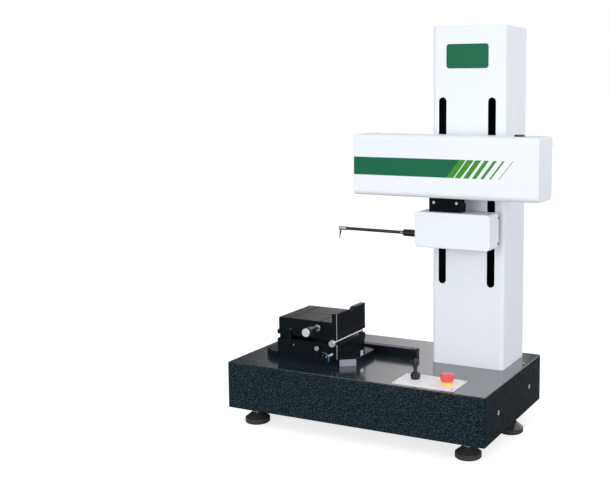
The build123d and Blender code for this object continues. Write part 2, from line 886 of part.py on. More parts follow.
# Round cable gland on the lid
with BuildPart() as cable_gland:
    with BuildSketch(Plane((gland_x, drive_centre_y, drive_top), x_dir=(1, 0, 0), z_dir=(0, -1, 0))):
        with BuildLine():
            Polyline(
                (0, -gland_stem_length),
                (gland_stem_radius, -gland_stem_length),
                (gland_stem_radius, 0),
                (gland_radius, 0),
                (gland_radius, gland_height - gland_bevel),
                (gland_radius - gland_bevel, gland_height),
                (0, gland_height),
                close=True,
            )
        make_face()
    revolve(axis=Axis((gland_x, drive_centre_y, drive_top), (0, 0, 1)))
finish(cable_gland.part, "cable_gland")

# Chassis inside the housing: a back plate with two end brackets for guide and screw
with BuildPart() as drive_chassis:
    with BuildSketch(Plane.XZ.offset(-chassis_back)):
        with Locations(((chassis_left + motor_right) / 2, drive_middle)):
            Rectangle(motor_right - chassis_left, chassis_height)
    extrude(amount=chassis_thickness)
    for bracket_side in (chassis_left, right_bracket_left):
        with BuildSketch(Plane.YZ.offset(bracket_side)):
            with Locations((chassis_front, drive_middle + chassis_height / 2)):
                Rectangle(chassis_bracket_depth, chassis_bracket_height, align=(Align.MAX, Align.MAX))
            with Locations((guide_centre_y, traverse_screw_z)):
                Circle(traverse_journal_radius + running_fit, mode=Mode.SUBTRACT)
        extrude(amount=chassis_bracket_thickness)
finish(drive_chassis.part, "drive_chassis")

# Ground guide bar that the slider runs on
with BuildPart() as traverse_guide:
    with BuildSketch(Plane.YZ.offset(guide_left)):
        with Locations((guide_centre_y, guide_bottom + guide_height / 2)):
            Rectangle(guide_depth, guide_height)
    extrude(amount=right_bracket_left - guide_left)
    chamfer(traverse_guide.edges().filter_by(Axis.X), edge_break)
finish(traverse_guide.part, "traverse_guide")

# Traverse motor behind the right bracket
with BuildPart() as traverse_motor:
    with BuildSketch(Plane.YZ.offset(motor_right - traverse_motor_length)):
        with Locations((guide_centre_y, traverse_screw_z)):
            RectangleRounded(traverse_motor_width, traverse_motor_width, traverse_motor_corner)
    extrude(amount=traverse_motor_length)
    with BuildSketch(Plane.YZ.offset(motor_right - traverse_motor_length)):
        with Locations((guide_centre_y, traverse_screw_z)):
            Circle(traverse_journal_radius + running_fit)
    extrude(amount=traverse_motor_bore_depth, mode=Mode.SUBTRACT)
finish(traverse_motor.part, "traverse_motor")

# Traverse screw between the brackets
traverse_screw_end = motor_right - traverse_motor_length + traverse_motor_bore_depth - free_gap
with BuildPart() as traverse_screw:
    with BuildSketch(Plane((0, guide_centre_y, traverse_screw_z), x_dir=(1, 0, 0), z_dir=(0, -1, 0))):
        with BuildLine():
            Polyline(
                (chassis_left + free_gap, 0),
                (chassis_left + free_gap, traverse_journal_radius),
                (guide_left + free_gap, traverse_journal_radius),
                (guide_left + free_gap, traverse_screw_radius),
                (right_bracket_left - free_gap, traverse_screw_radius),
                (right_bracket_left - free_gap, traverse_journal_radius),
                (traverse_screw_end, traverse_journal_radius),
                (traverse_screw_end, 0),
                close=True,
            )
        make_face()
    revolve(axis=Axis((0, guide_centre_y, traverse_screw_z), (1, 0, 0)))
finish(traverse_screw.part, "traverse_screw")

# Slider: a box around the guide with the traverse nut on its roof
with BuildPart() as traverse_slider:
    with BuildSketch(Plane.YZ.offset(bracket_x - slider_length / 2)):
        with Locations((guide_back + slide_gap + slider_back_wall, slider_bottom)):
            Rectangle(
                guide_depth + 2 * slide_gap + slider_front_wall + slider_back_wall,
                slider_top - slider_bottom,
                align=(Align.MAX, Align.MIN),
            )
        with Locations((guide_centre_y, guide_bottom + guide_height / 2)):
            Rectangle(guide_depth + 2 * slide_gap, guide_height + 2 * slide_gap, mode=Mode.SUBTRACT)
    extrude(amount=slider_length)
    with BuildSketch(Plane.YZ.offset(bracket_x - traverse_nut_length / 2)):
        with Locations((guide_centre_y, slider_top)):
            Rectangle(
                traverse_nut_width,
                traverse_screw_rise + traverse_nut_width / 2,
                align=(Align.CENTER, Align.MIN),
            )
        with Locations((guide_centre_y, traverse_screw_z)):
            Circle(traverse_screw_radius + running_fit, mode=Mode.SUBTRACT)
    extrude(amount=traverse_nut_length)
finish(traverse_slider.part, "traverse_slider")

# Detector bracket: the black block under the drive, with a neck up through the slot
with BuildPart() as detector_bracket:
    with BuildSketch(Plane.XY.offset(detector_top)):
        with Locations((bracket_x, bracket_centre_y)):
            Rectangle(bracket_width, bracket_depth)
    extrude(amount=bracket_height)
    with BuildSketch(Plane.XY.offset(bracket_top)):
        with Locations((bracket_left + bracket_width, bracket_back)):
            Rectangle(2 * bracket_notch_depth, bracket_depth / 2)
    extrude(amount=-bracket_notch_height, mode=Mode.SUBTRACT)
    with BuildSketch(Plane.XY.offset(bracket_top)):
        with Locations((bracket_x, bracket_centre_y)):
            Rectangle(bracket_neck_width, bracket_neck_depth)
    extrude(amount=slider_bottom - bracket_top)
finish(detector_bracket.part, "detector_bracket")

# Two screws in the front of the bracket
with BuildPart() as bracket_screws:
    with BuildSketch(Plane.XZ.offset(-bracket_front)):
        with Locations((bracket_x + bracket_screw_offset, bracket_top - bracket_screw_drop)):
            with GridLocations(bracket_screw_spacing, 1, 2, 1):
                Circle(bracket_screw_radius)
    extrude(amount=bracket_screw_head)
    with BuildSketch(Plane.XZ.offset(-bracket_front + bracket_screw_head)):
        with Locations((bracket_x + bracket_screw_offset, bracket_top - bracket_screw_drop)):
            with GridLocations(bracket_screw_spacing, 1, 2, 1):
                RegularPolygon(bracket_screw_radius / 2, 6)
    extrude(amount=-bracket_screw_head / 2, mode=Mode.SUBTRACT)
finish(bracket_screws.part, "bracket_screws")

# Detector cover: a shell open at the back, with a port for the arm in its left side
with BuildPart() as detector_cover:
    with BuildSketch(Plane.XZ.offset(-detector_back)):
        with Locations((detector_centre_x, (detector_bottom + detector_top) / 2)):
            RectangleRounded(detector_width, detector_height, detector_edge_radius)
    extrude(amount=detector_depth)
    fillet(detector_cover.faces().sort_by(Axis.Y)[0].edges(), detector_face_radius)
    with BuildSketch(Plane.XZ.offset(-detector_back)):
        with Locations((detector_centre_x, (detector_bottom + detector_top) / 2)):
            RectangleRounded(
                detector_width - 2 * detector_wall,
                detector_height - 2 * detector_wall,
                detector_edge_radius - detector_wall,
            )
    extrude(amount=detector_depth - detector_wall, mode=Mode.SUBTRACT)
    with BuildSketch(Plane.YZ.offset(detector_left)):
        with Locations((arm_y, pivot_z)):
            SlotOverall(
                2 * (collar_radius + arm_port_play),
                2 * (collar_radius + arm_port_side_gap),
                rotation=90,
            )
    extrude(amount=detector_wall, mode=Mode.SUBTRACT)
finish(detector_cover.part, "detector_cover")

# Detector frame: the back plate, the top flange under the bracket and the front pivot ear
ear_front = arm_y - beam_width / 2 - frame_ear_gap - frame_ear_thickness
with BuildPart() as detector_frame:
    with BuildSketch(Plane.XZ.offset(-frame_back)):
        with Locations((detector_centre_x, (detector_bottom + detector_top) / 2)):
            RectangleRounded(
                detector_width - 2 * detector_wall - 2 * slide_gap,
                detector_height - 2 * detector_wall - 2 * slide_gap,
                detector_edge_radius - detector_wall,
            )
    extrude(amount=frame_plate_thickness)
    with BuildSketch(Plane.XY.offset(detector_top - detector_wall - slide_gap)):
        with Locations(((bracket_left + pivot_x + frame_ear_width / 2) / 2, frame_front)):
            Rectangle(
                pivot_x + frame_ear_width / 2 - bracket_left,
                frame_front - ear_front,
                align=(Align.CENTER, Align.MAX),
            )
    extrude(amount=-frame_flange_thickness)
    with BuildSketch(Plane.XZ.offset(-ear_front)):
        with Locations((pivot_x, detector_top - detector_wall - slide_gap)):
            Rectangle(
                frame_ear_width,
                detector_top - detector_wall - slide_gap - pivot_z + frame_ear_drop,
                align=(Align.CENTER, Align.MAX),
            )
    extrude(amount=-frame_ear_thickness)
    with BuildSketch(Plane.XZ.offset(-frame_back)):
        with Locations((pivot_x, pivot_z)):
            Circle(pivot_radius + running_fit)
    extrude(amount=frame_back - ear_front, mode=Mode.SUBTRACT)
finish(detector_frame.part, "detector_frame")

# Screws in the sides of the detector cover, near its back edge
with BuildPart() as detector_screws:
    for side in (-1, 1):
        with BuildSketch(Plane.YZ.offset(detector_centre_x + side * detector_width / 2)):
            with Locations(((frame_front + frame_back) / 2, (detector_bottom + detector_top) / 2)):
                with GridLocations(1, detector_height - 2 * side_screw_inset_z, 1, 2):
                    Circle(side_screw_radius)
        extrude(amount=side * side_screw_head)
finish(detector_screws.part, "detector_screws")

# Stylus beam inside the detector: pivot shaft, hub, beam and tail weight in one piece
with BuildPart() as stylus_beam:
    with BuildSketch(Plane.XZ.offset(-arm_y - beam_width / 2)):
        with Locations((arm_root_x, pivot_z)):
            Rectangle(pivot_x + beam_tail - arm_root_x, beam_height, align=(Align.MIN, Align.CENTER))
        with Locations((pivot_x, pivot_z)):
            Circle(beam_hub_radius)
        with Locations((pivot_x + beam_tail, pivot_z)):
            Rectangle(tail_weight_length, tail_weight_height, align=(Align.MAX, Align.CENTER))
    extrude(amount=beam_width)
    with BuildSketch(Plane.XZ.offset(-frame_back)):
        with Locations((pivot_x, pivot_z)):
            Circle(pivot_radius)
    extrude(amount=frame_back - ear_front)
finish(stylus_beam.part, "stylus_beam")

# The arm's own plane: its normal runs out along the arm, sloping up to the left
arm_direction = (-cos(radians(arm_slope)), 0, sin(radians(arm_slope)))
arm_plane = Plane((arm_root_x - free_gap, arm_y, pivot_z), x_dir=(0, 1, 0), z_dir=arm_direction)
ferrule_start = collar_length
tube_start = ferrule_start + ferrule_length
clamp_start = tube_start + tube_length

# Black collar that takes the arm, with two turned grooves
with BuildPart() as arm_collar:
    with BuildSketch(arm_plane):
        Circle(collar_radius)
    extrude(amount=collar_length)
    for groove_start in collar_groove_starts:
        with BuildSketch(arm_plane.offset(groove_start)):
            Circle(collar_radius + collar_groove_depth)
            Circle(collar_radius - collar_groove_depth, mode=Mode.SUBTRACT)
        extrude(amount=collar_groove_width, mode=Mode.SUBTRACT)
    chamfer(arm_collar.faces().sort_by(Axis.X)[0].edges(), edge_break)
finish(arm_collar.part, "arm_collar")

# Metal ferrule between collar and tube
with BuildPart() as arm_ferrule:
    with BuildSketch(arm_plane.offset(ferrule_start)):
        Circle(ferrule_radius)
    with BuildSketch(arm_plane.offset(tube_start)):
        Circle(tube_radius + ferrule_rim)
    loft()
finish(arm_ferrule.part, "arm_ferrule")

# Light tube of the arm
with BuildPart() as arm_tube:
    with BuildSketch(arm_plane.offset(tube_start)):
        Circle(tube_radius)
        Circle(tube_bore_radius, mode=Mode.SUBTRACT)
    extrude(amount=tube_length)
finish(arm_tube.part, "arm_tube")

# Clamp at the arm's end: a turned socket cut flat below, with the stylus hole down through it
stylus_station = clamp_start + clamp_length - stylus_shank_radius - stylus_end_wall
stylus_x = arm_root_x - free_gap + arm_direction[0] * stylus_station
stylus_axis_z = pivot_z + arm_direction[2] * stylus_station
with BuildPart() as stylus_clamp:
    with BuildSketch(arm_plane.offset(clamp_start)):
        Circle(clamp_radius)
    extrude(amount=clamp_length)
    chamfer(stylus_clamp.faces().sort_by(Axis.X)[0].edges(), edge_break)
    with BuildSketch(Plane.XY.offset(stylus_axis_z - 2 * clamp_radius)):
        with Locations((stylus_x, arm_y)):
            Circle(stylus_shank_radius + glue_gap)
    extrude(amount=2 * clamp_radius + clamp_radius / 2, mode=Mode.SUBTRACT)
finish(stylus_clamp.part, "stylus_clamp")

# Stylus: a straight shank that tapers and leans out to its tip
shank_top = stylus_axis_z + clamp_radius / 2 - free_gap
shank_bottom = stylus_axis_z - stylus_shank_length
with BuildPart() as stylus:
    with BuildSketch(Plane.XY.offset(shank_top)):
        with Locations((stylus_x, arm_y)):
            Circle(stylus_shank_radius)
    extrude(amount=shank_bottom - shank_top)
    with BuildSketch(Plane.XY.offset(shank_bottom)):
        with Locations((stylus_x, arm_y)):
            Circle(stylus_shank_radius)
    with BuildSketch(Plane.XY.offset(stylus_axis_z - stylus_length)):
        with Locations((stylus_x - stylus_reach, arm_y)):
            Circle(stylus_tip_radius)
    loft()
finish(stylus.part, "stylus")

# Control panel plate with holes for the joystick, the stop button and four screws
with BuildPart() as control_panel:
    with BuildSketch(Plane.XY):
        with Locations((panel_x, panel_y)):
            RectangleRounded(panel_width, panel_depth, panel_corner_radius)
        with Locations(*panel_screw_points):
            Circle(panel_screw_radius + glue_gap, mode=Mode.SUBTRACT)
        with Locations((joystick_x, joystick_y)):
            Circle(can_radius + free_gap, mode=Mode.SUBTRACT)
        with Locations((estop_x, estop_y)):
            Circle(estop_body_radius + free_gap, mode=Mode.SUBTRACT)
    extrude(amount=panel_thickness)
finish(control_panel.part, "control_panel")

# Panel screws
with BuildPart() as panel_screws:
    with BuildSketch(Plane.XY.offset(panel_thickness)):
        with Locations(*panel_screw_points):
            Circle(panel_screw_head_radius)
    extrude(amount=panel_screw_head_height)
    with BuildSketch(Plane.XY.offset(panel_thickness)):
        with Locations(*panel_screw_points):
            Circle(panel_screw_radius)
    extrude(amount=-(panel_screw_length + panel_thickness - panel_screw_end_gap))
finish(panel_screws.part, "panel_screws")

# Joystick bezel: a flange on the panel and a can below, bored as a ball seat for the boot
lip_rise = panel_thickness + bezel_height - joystick_pivot_z
lip_angle = asin(lip_rise / seat_radius)
lip_radius = seat_radius * cos(lip_angle)
with BuildPart() as joystick_bezel:
    with BuildSketch(Plane((joystick_x, joystick_y, joystick_pivot_z), x_dir=(1, 0, 0), z_dir=(0, -1, 0))):
        with BuildLine():
            seat = ThreePointArc(
                (seat_radius, 0),
                (seat_radius * cos(lip_angle / 2), seat_radius * sin(lip_angle / 2)),
                (lip_radius, lip_rise),
            )
            Polyline(
                seat @ 1,
                (bezel_radius - bezel_bevel, lip_rise),
                (bezel_radius, joystick_pivot_drop + bezel_rim),
                (bezel_radius, joystick_pivot_drop),
                (can_radius, joystick_pivot_drop),
                (can_radius, -bezel_can_depth),
                (0, -bezel_can_depth),
                (0, -bezel_can_depth + bezel_can_wall),
                (seat_radius, -bezel_can_depth + bezel_can_wall),
                seat @ 0,
            )
        make_face()
    revolve(axis=Axis((joystick_x, joystick_y, joystick_pivot_z), (0, 0, 1)))
    with BuildSketch(Plane.YZ.offset(joystick_x - can_radius)):
        with Locations((joystick_y, joystick_pivot_z)):
            Circle(trunnion_radius + running_fit)
    extrude(amount=2 * can_radius, mode=Mode.SUBTRACT)
finish(joystick_bezel.part, "joystick_bezel")

# Gimbal ring with its two outer trunnions along X and two bores along Y
with BuildPart() as joystick_gimbal:
    with BuildSketch(Plane.XY.offset(joystick_pivot_z - gimbal_height / 2)):
        with Locations((joystick_x, joystick_y)):
            Circle(gimbal_outer_radius)
            Circle(gimbal_inner_radius, mode=Mode.SUBTRACT)
    extrude(amount=gimbal_height)
    for side in (-1, 1):
        with BuildSketch(Plane.YZ.offset(joystick_x + side * (gimbal_outer_radius - trunnion_root))):
            with Locations((joystick_y, joystick_pivot_z)):
                Circle(trunnion_radius)
        extrude(amount=side * (can_radius - gimbal_outer_radius + trunnion_root))
    with BuildSketch(Plane.XZ.offset(-joystick_y - gimbal_outer_radius)):
        with Locations((joystick_x, joystick_pivot_z)):
            Circle(trunnion_radius + running_fit)
    extrude(amount=2 * gimbal_outer_radius, mode=Mode.SUBTRACT)
finish(joystick_gimbal.part, "joystick_gimbal")

# Lever: hub and trunnions in the gimbal, a stem, and the tapered grip with a domed top
with BuildPart() as joystick_lever:
    with BuildSketch(Plane.XZ.offset(-joystick_y - gimbal_outer_radius)):
        with Locations((joystick_x, joystick_pivot_z)):
            Circle(trunnion_radius)
    extrude(amount=2 * gimbal_outer_radius)
    with BuildSketch(Plane.XY.offset(joystick_pivot_z - lever_hub / 2)):
        with Locations((joystick_x, joystick_y)):
            Rectangle(lever_hub, lever_hub)
    extrude(amount=lever_hub)
    with BuildSketch(Plane((joystick_x, joystick_y, panel_thickness), x_dir=(1, 0, 0), z_dir=(0, -1, 0))):
        with BuildLine():
            dome = ThreePointArc(
                (grip_top_radius, grip_shoulder),
                (
                    grip_top_radius * cos(radians(dome_angle)),
                    grip_shoulder + (grip_top - grip_shoulder) * sin(radians(dome_angle)),
                ),
                (dome_flat, grip_top),
            )
            Polyline(
                dome @ 1,
                (0, grip_top),
                (0, joystick_pivot_z - panel_thickness),
                (lever_stem_radius, joystick_pivot_z - panel_thickness),
                (lever_stem_radius, grip_bottom),
                (grip_bottom_radius, grip_bottom),
                dome @ 0,
            )
        make_face()
    revolve(axis=Axis((joystick_x, joystick_y, panel_thickness), (0, 0, 1)))
finish(joystick_lever.part, "joystick_lever")

# Rubber boot: a ball skirt in the bezel, then pleats that narrow towards the grip
edge = radians(boot_edge_angle)
neck = radians(boot_neck_angle)
middle = (edge + neck) / 2
neck_radius = boot_radius * sin(neck)
neck_height = boot_radius * cos(neck)
inner_boot_radius = boot_radius - boot_wall
boot_top = panel_thickness + grip_bottom - joystick_pivot_z - free_gap
pleat_points = []
for pleat in range(boot_pleats):
    share = (pleat + 0.5) / boot_pleats
    crest_height = neck_height + share * (boot_top - neck_height)
    crest_radius = neck_radius + share * (boot_top_radius - neck_radius)
    valley_height = neck_height + (pleat + 1) / boot_pleats * (boot_top - neck_height)
    valley_radius = neck_radius + (pleat + 1) / boot_pleats * (boot_top_radius - neck_radius)
    pleat_points += [
        (crest_radius + boot_pleat_depth, crest_height),
        (valley_radius, valley_height),
    ]
with BuildPart() as joystick_boot:
    with BuildSketch(Plane((joystick_x, joystick_y, joystick_pivot_z), x_dir=(1, 0, 0), z_dir=(0, -1, 0))):
        with BuildLine():
            skirt = ThreePointArc(
                (boot_radius * sin(edge), boot_radius * cos(edge)),
                (boot_radius * sin(middle), boot_radius * cos(middle)),
                (neck_radius, neck_height),
            )
            Polyline(skirt @ 1, *pleat_points, (lever_stem_radius + free_gap, boot_top))
            Line(
                (lever_stem_radius + free_gap, boot_top),
                (lever_stem_radius + free_gap, inner_boot_radius),
            )
            lining = ThreePointArc(
                (inner_boot_radius * sin(edge), inner_boot_radius * cos(edge)),
                (inner_boot_radius * sin(middle), inner_boot_radius * cos(middle)),
                (inner_boot_radius * sin(neck / 2), inner_boot_radius * cos(neck / 2)),
            )
            Line(lining @ 1, (lever_stem_radius + free_gap, inner_boot_radius))
            Line(lining @ 0, skirt @ 0)
        make_face()
    revolve(axis=Axis((joystick_x, joystick_y, joystick_pivot_z), (0, 0, 1)))
finish(joystick_boot.part, "joystick_boot")

# Emergency stop collar on the panel, with its bored body below
plunger_bottom = panel_thickness - estop_body_depth + estop_travel + estop_body_floor
with BuildPart() as estop_collar:
    with BuildSketch(Plane.XY.offset(panel_thickness)):
        with Locations((estop_x, estop_y)):
            Circle(estop_collar_radius)
    extrude(amount=estop_collar_height)
    chamfer(estop_collar.faces().sort_by(Axis.Z)[-1].edges(), estop_collar_bevel)
    with BuildSketch(Plane.XY.offset(panel_thickness)):
        with Locations((estop_x, estop_y)):
            Circle(estop_body_radius)
    extrude(amount=-estop_body_depth)
    with BuildSketch(Plane.XY.offset(plunger_bottom - estop_travel - free_gap)):
        with Locations((estop_x, estop_y)):
            Circle(plunger_radius + running_fit)
    extrude(amount=estop_body_depth + estop_collar_height, mode=Mode.SUBTRACT)
finish(estop_collar.part, "estop_collar")

# Plunger that slides in the collar and carries the head on a thinner neck
collar_top = panel_thickness + estop_collar_height
mushroom_bottom = collar_top + estop_travel + mushroom_gap
mushroom_top = panel_thickness + mushroom_height
with BuildPart() as estop_plunger:
    with BuildSketch(Plane.XY.offset(plunger_bottom)):
        with Locations((estop_x, estop_y)):
            Circle(plunger_radius)
    extrude(amount=mushroom_bottom - plunger_bottom)
    with BuildSketch(Plane.XY.offset(mushroom_bottom)):
        with Locations((estop_x, estop_y)):
            Circle(plunger_neck_radius)
    extrude(amount=plunger_neck_length)
finish(estop_plunger.part, "estop_plunger")

# Mushroom head with a domed top, bored for the plunger's neck
mushroom_rise = mushroom_top - mushroom_bottom
with BuildPart() as estop_head:
    with BuildSketch(Plane((estop_x, estop_y, mushroom_bottom), x_dir=(1, 0, 0), z_dir=(0, -1, 0))):
        with BuildLine():
            crown = ThreePointArc(
                (mushroom_radius, mushroom_rim_top),
                (
                    mushroom_radius * cos(radians(crown_angle)),
                    mushroom_rim_top + (mushroom_rise - mushroom_rim_top) * sin(radians(crown_angle)),
                ),
                (dome_flat, mushroom_rise),
            )
            Polyline(
                crown @ 1,
                (0, mushroom_rise),
                (0, plunger_neck_length + free_gap),
                (plunger_neck_radius + running_fit, plunger_neck_length + free_gap),
                (plunger_neck_radius + running_fit, free_gap),
                (mushroom_hub_radius, free_gap),
                (mushroom_radius - edge_break, mushroom_rim_bottom - edge_break),
                (mushroom_radius, mushroom_rim_bottom),
                crown @ 0,
            )
        make_face()
    revolve(axis=Axis((estop_x, estop_y, mushroom_bottom), (0, 0, 1)))
finish(estop_head.part, "estop_head")

# Base plate of the adjusting table: an octagon with the swivel boss
with BuildPart() as table_base_plate:
    with BuildSketch(Plane.XY):
        with BuildLine():
            half_x = table_width / 2
            half_y = table_depth / 2
            Polyline(
                *[
                    (table_x + sx * x, table_y + sy * y)
                    for sx, sy, x, y in (
                        (-1, -1, half_x - table_corner_x, half_y),
                        (1, -1, half_x - table_corner_x, half_y),
                        (1, -1, half_x, half_y - table_corner_y),
                        (1, 1, half_x, half_y - table_corner_y),
                        (1, 1, half_x - table_corner_x, half_y),
                        (-1, 1, half_x - table_corner_x, half_y),
                        (-1, 1, half_x, half_y - table_corner_y),
                        (-1, -1, half_x, half_y - table_corner_y),
                    )
                ],
                close=True,
            )
        make_face()
    extrude(amount=table_plate_thickness)
    chamfer(table_base_plate.faces().sort_by(Axis.Z)[-1].edges(), edge_break)
    with BuildSketch(Plane.XY.offset(table_plate_thickness)):
        with Locations((stack_x, table_y)):
            Circle(swivel_boss_radius)
    extrude(amount=swivel_boss_height)
    with BuildSketch(Plane.XY.offset(table_plate_thickness)):
        with Locations((clamp_screw_x, clamp_screw_y)):
            Circle(clamp_screw_shank_radius + glue_gap)
    extrude(amount=-clamp_screw_shank_length - free_gap, mode=Mode.SUBTRACT)
finish(table_base_plate.part, "table_base_plate")

# Clamp screw at the right edge of the table's base plate
with BuildPart() as table_clamp_screw:
    with BuildSketch(
        Plane((clamp_screw_x, clamp_screw_y, table_plate_thickness), x_dir=(1, 0, 0), z_dir=(0, -1, 0))
    ):
        with BuildLine():
            Polyline(
                (0, -clamp_screw_shank_length),
                (clamp_screw_shank_radius, -clamp_screw_shank_length),
                (clamp_screw_shank_radius, 0),
                (clamp_screw_washer_radius, 0),
                (clamp_screw_washer_radius, clamp_screw_washer),
                (clamp_screw_head_radius, clamp_screw_washer),
                (clamp_screw_head_radius, clamp_screw_head_height),
                (clamp_screw_head_radius - edge_break, clamp_screw_head_height + edge_break),
                (0, clamp_screw_head_height + edge_break),
                close=True,
            )
        make_face()
    revolve(axis=Axis((clamp_screw_x, clamp_screw_y, 0), (0, 0, 1)))
finish(table_clamp_screw.part, "table_clamp_screw")

# Swivel plate, bored for the boss below and for the knob's shaft in front
with BuildPart() as swivel_plate:
    with BuildSketch(Plane.XY.offset(swivel_bottom)):
        with Locations((stack_x, stack_front)):
            Rectangle(stack_width, swivel_depth, align=(Align.CENTER, Align.MIN))
    extrude(amount=swivel_thickness)
    chamfer(swivel_plate.faces().sort_by(Axis.Z)[-1].edges(), fine_edge_break)
    with BuildSketch(Plane.XY.offset(swivel_bottom)):
        with Locations((stack_x, table_y)):
            Circle(swivel_boss_radius + running_fit)
    extrude(amount=swivel_boss_height, mode=Mode.SUBTRACT)
    with BuildSketch(Plane.XZ.offset(-stack_front)):
        with Locations((swivel_knob_x, swivel_knob_z)):
            Circle(swivel_shaft_radius + running_fit)
    extrude(amount=-swivel_shaft_length, mode=Mode.SUBTRACT)
finish(swivel_plate.part, "swivel_plate")

# Tilt base on the swivel plate: two hinge lugs at its right edge and a rest bar at its left
base_lug_ys = (stack_front + hinge_lug_front, stack_back - hinge_lug_back - hinge_lug_length)
tilt_lug_ys = (base_lug_ys[0] + hinge_pitch, base_lug_ys[1] - hinge_pitch)
lug_width = hinge_inset + hinge_lug_reach
base_lug_top = hinge_z + hinge_lug_reach
with BuildPart() as tilt_base:
    with BuildSketch(Plane.XY.offset(swivel_top)):
        with Locations((stack_x, stack_y)):
            Rectangle(stack_width, stack_depth)
    extrude(amount=tilt_base_thickness)
    chamfer(tilt_base.faces().sort_by(Axis.Z)[-1].edges(), fine_edge_break)
    for lug_y in base_lug_ys:
        with BuildSketch(Plane.XZ.offset(-lug_y)):
            with Locations((stack_right, tilt_base_top - tilt_base_thickness / 2)):
                Rectangle(
                    lug_width,
                    base_lug_top - tilt_base_top + tilt_base_thickness / 2,
                    align=(Align.MAX, Align.MIN),
                )
        extrude(amount=-hinge_lug_length)
    with BuildSketch(Plane.XY.offset(tilt_base_top)):
        with Locations((stack_left + tilt_pad_inset, stack_y)):
            Rectangle(tilt_pad_width, stack_depth - 2 * tilt_pad_setback, align=(Align.MIN, Align.CENTER))
    extrude(amount=tilt_gap - free_gap)
    with BuildSketch(Plane.XZ.offset(-stack_front)):
        with Locations((hinge_x, hinge_z)):
            Circle(rod_radius + running_fit)
    extrude(amount=-stack_depth, mode=Mode.SUBTRACT)
    with BuildSketch(Plane.XZ.offset(-stack_front)):
        with Locations((lock_knob_x, lock_knob_z)):
            Circle(lock_shank_radius + running_fit)
    extrude(amount=-lock_shank_length - free_gap, mode=Mode.SUBTRACT)
finish(tilt_base.part, "tilt_base")

# Hinge rod, clipped in the lugs half open to the right and standing out in front
rod_back = stack_back - hinge_lug_back
with BuildPart() as hinge_rod:
    with BuildSketch(Plane.XZ.offset(-rod_back)):
        with Locations((hinge_x, hinge_z)):
            Circle(rod_radius)
    extrude(amount=rod_back - stack_front + rod_overhang - free_gap)
finish(hinge_rod.part, "hinge_rod")

# Knurled knob on the front end of the rod
rod_knob_back = stack_front - rod_overhang + rod_knob_cover
with BuildPart() as rod_knob:
    with BuildSketch(Plane.XZ.offset(-rod_knob_back)):
        with Locations((hinge_x, hinge_z)):
            Circle(rod_knob_radius)
    extrude(amount=rod_knob_length)
    chamfer(rod_knob.faces().filter_by(Axis.Y).edges(), edge_break)
    with BuildSketch(Plane.XZ.offset(-rod_knob_back)):
        with Locations((hinge_x, hinge_z)):
            Circle(rod_radius + running_fit)
    extrude(amount=rod_knob_cover, mode=Mode.SUBTRACT)
finish(rod_knob.part, "rod_knob")

# Swivel knob: a small handwheel with a rim, three spokes and a bored hub
swivel_knob_back = stack_front - swivel_knob_stand_off
hub_bore_end = swivel_knob_back - swivel_hub_cover
with BuildPart() as swivel_knob:
    with BuildSketch(Plane.XZ.offset(-swivel_knob_back)):
        with Locations((swivel_knob_x, swivel_knob_z)):
            Circle(swivel_knob_radius)
            Circle(swivel_knob_radius - swivel_knob_rim, mode=Mode.SUBTRACT)
    extrude(amount=swivel_knob_rim_length)
    chamfer(swivel_knob.faces().sort_by(Axis.Y)[0].edges(), swivel_knob_bevel)
    with BuildSketch(Plane.XZ.offset(-swivel_knob_back)):
        with Locations((swivel_knob_x, swivel_knob_z)):
            Circle(swivel_hub_radius)
    extrude(amount=swivel_hub_length)
    with BuildSketch(Plane.XZ.offset(-swivel_knob_back)):
        with Locations((swivel_knob_x, swivel_knob_z)):
            with PolarLocations(0, swivel_spokes, start_angle=swivel_spoke_angle):
                Rectangle(
                    swivel_knob_radius - swivel_knob_rim / 2,
                    swivel_spoke_width,
                    align=(Align.MIN, Align.CENTER),
                )
    extrude(amount=swivel_spoke_depth)
    with BuildSketch(Plane.XZ.offset(-swivel_knob_back)):
        with Locations((swivel_knob_x, swivel_knob_z)):
            Circle(swivel_shaft_radius + running_fit)
    extrude(amount=swivel_hub_cover, mode=Mode.SUBTRACT)
finish(swivel_knob.part, "swivel_knob")

# Bright shaft of the swivel knob, run into the swivel plate
shaft_end = stack_front + swivel_shaft_length - free_gap
with BuildPart() as swivel_shaft:
    with BuildSketch(Plane.XZ.offset(-shaft_end)):
        with Locations((swivel_knob_x, swivel_knob_z)):
            Circle(swivel_shaft_radius)
    extrude(amount=shaft_end - hub_bore_end - free_gap)
finish(swivel_shaft.part, "swivel_shaft")

# Small lock knob in the front of the tilt base
lock_knob_back = stack_front - lock_knob_stand_off
with BuildPart() as lock_knob:
    with BuildSketch(Plane.XZ.offset(-lock_knob_back)):
        with Locations((lock_knob_x, lock_knob_z)):
            Circle(lock_knob_radius)
    extrude(amount=lock_knob_length)
    chamfer(lock_knob.faces().filter_by(Axis.Y).edges(), fine_edge_break)
    with BuildSketch(Plane.XZ.offset(-lock_knob_back)):
        with Locations((lock_knob_x, lock_knob_z)):
            Circle(lock_shank_radius)
    extrude(amount=-(lock_knob_stand_off + lock_shank_length))
finish(lock_knob.part, "lock_knob")

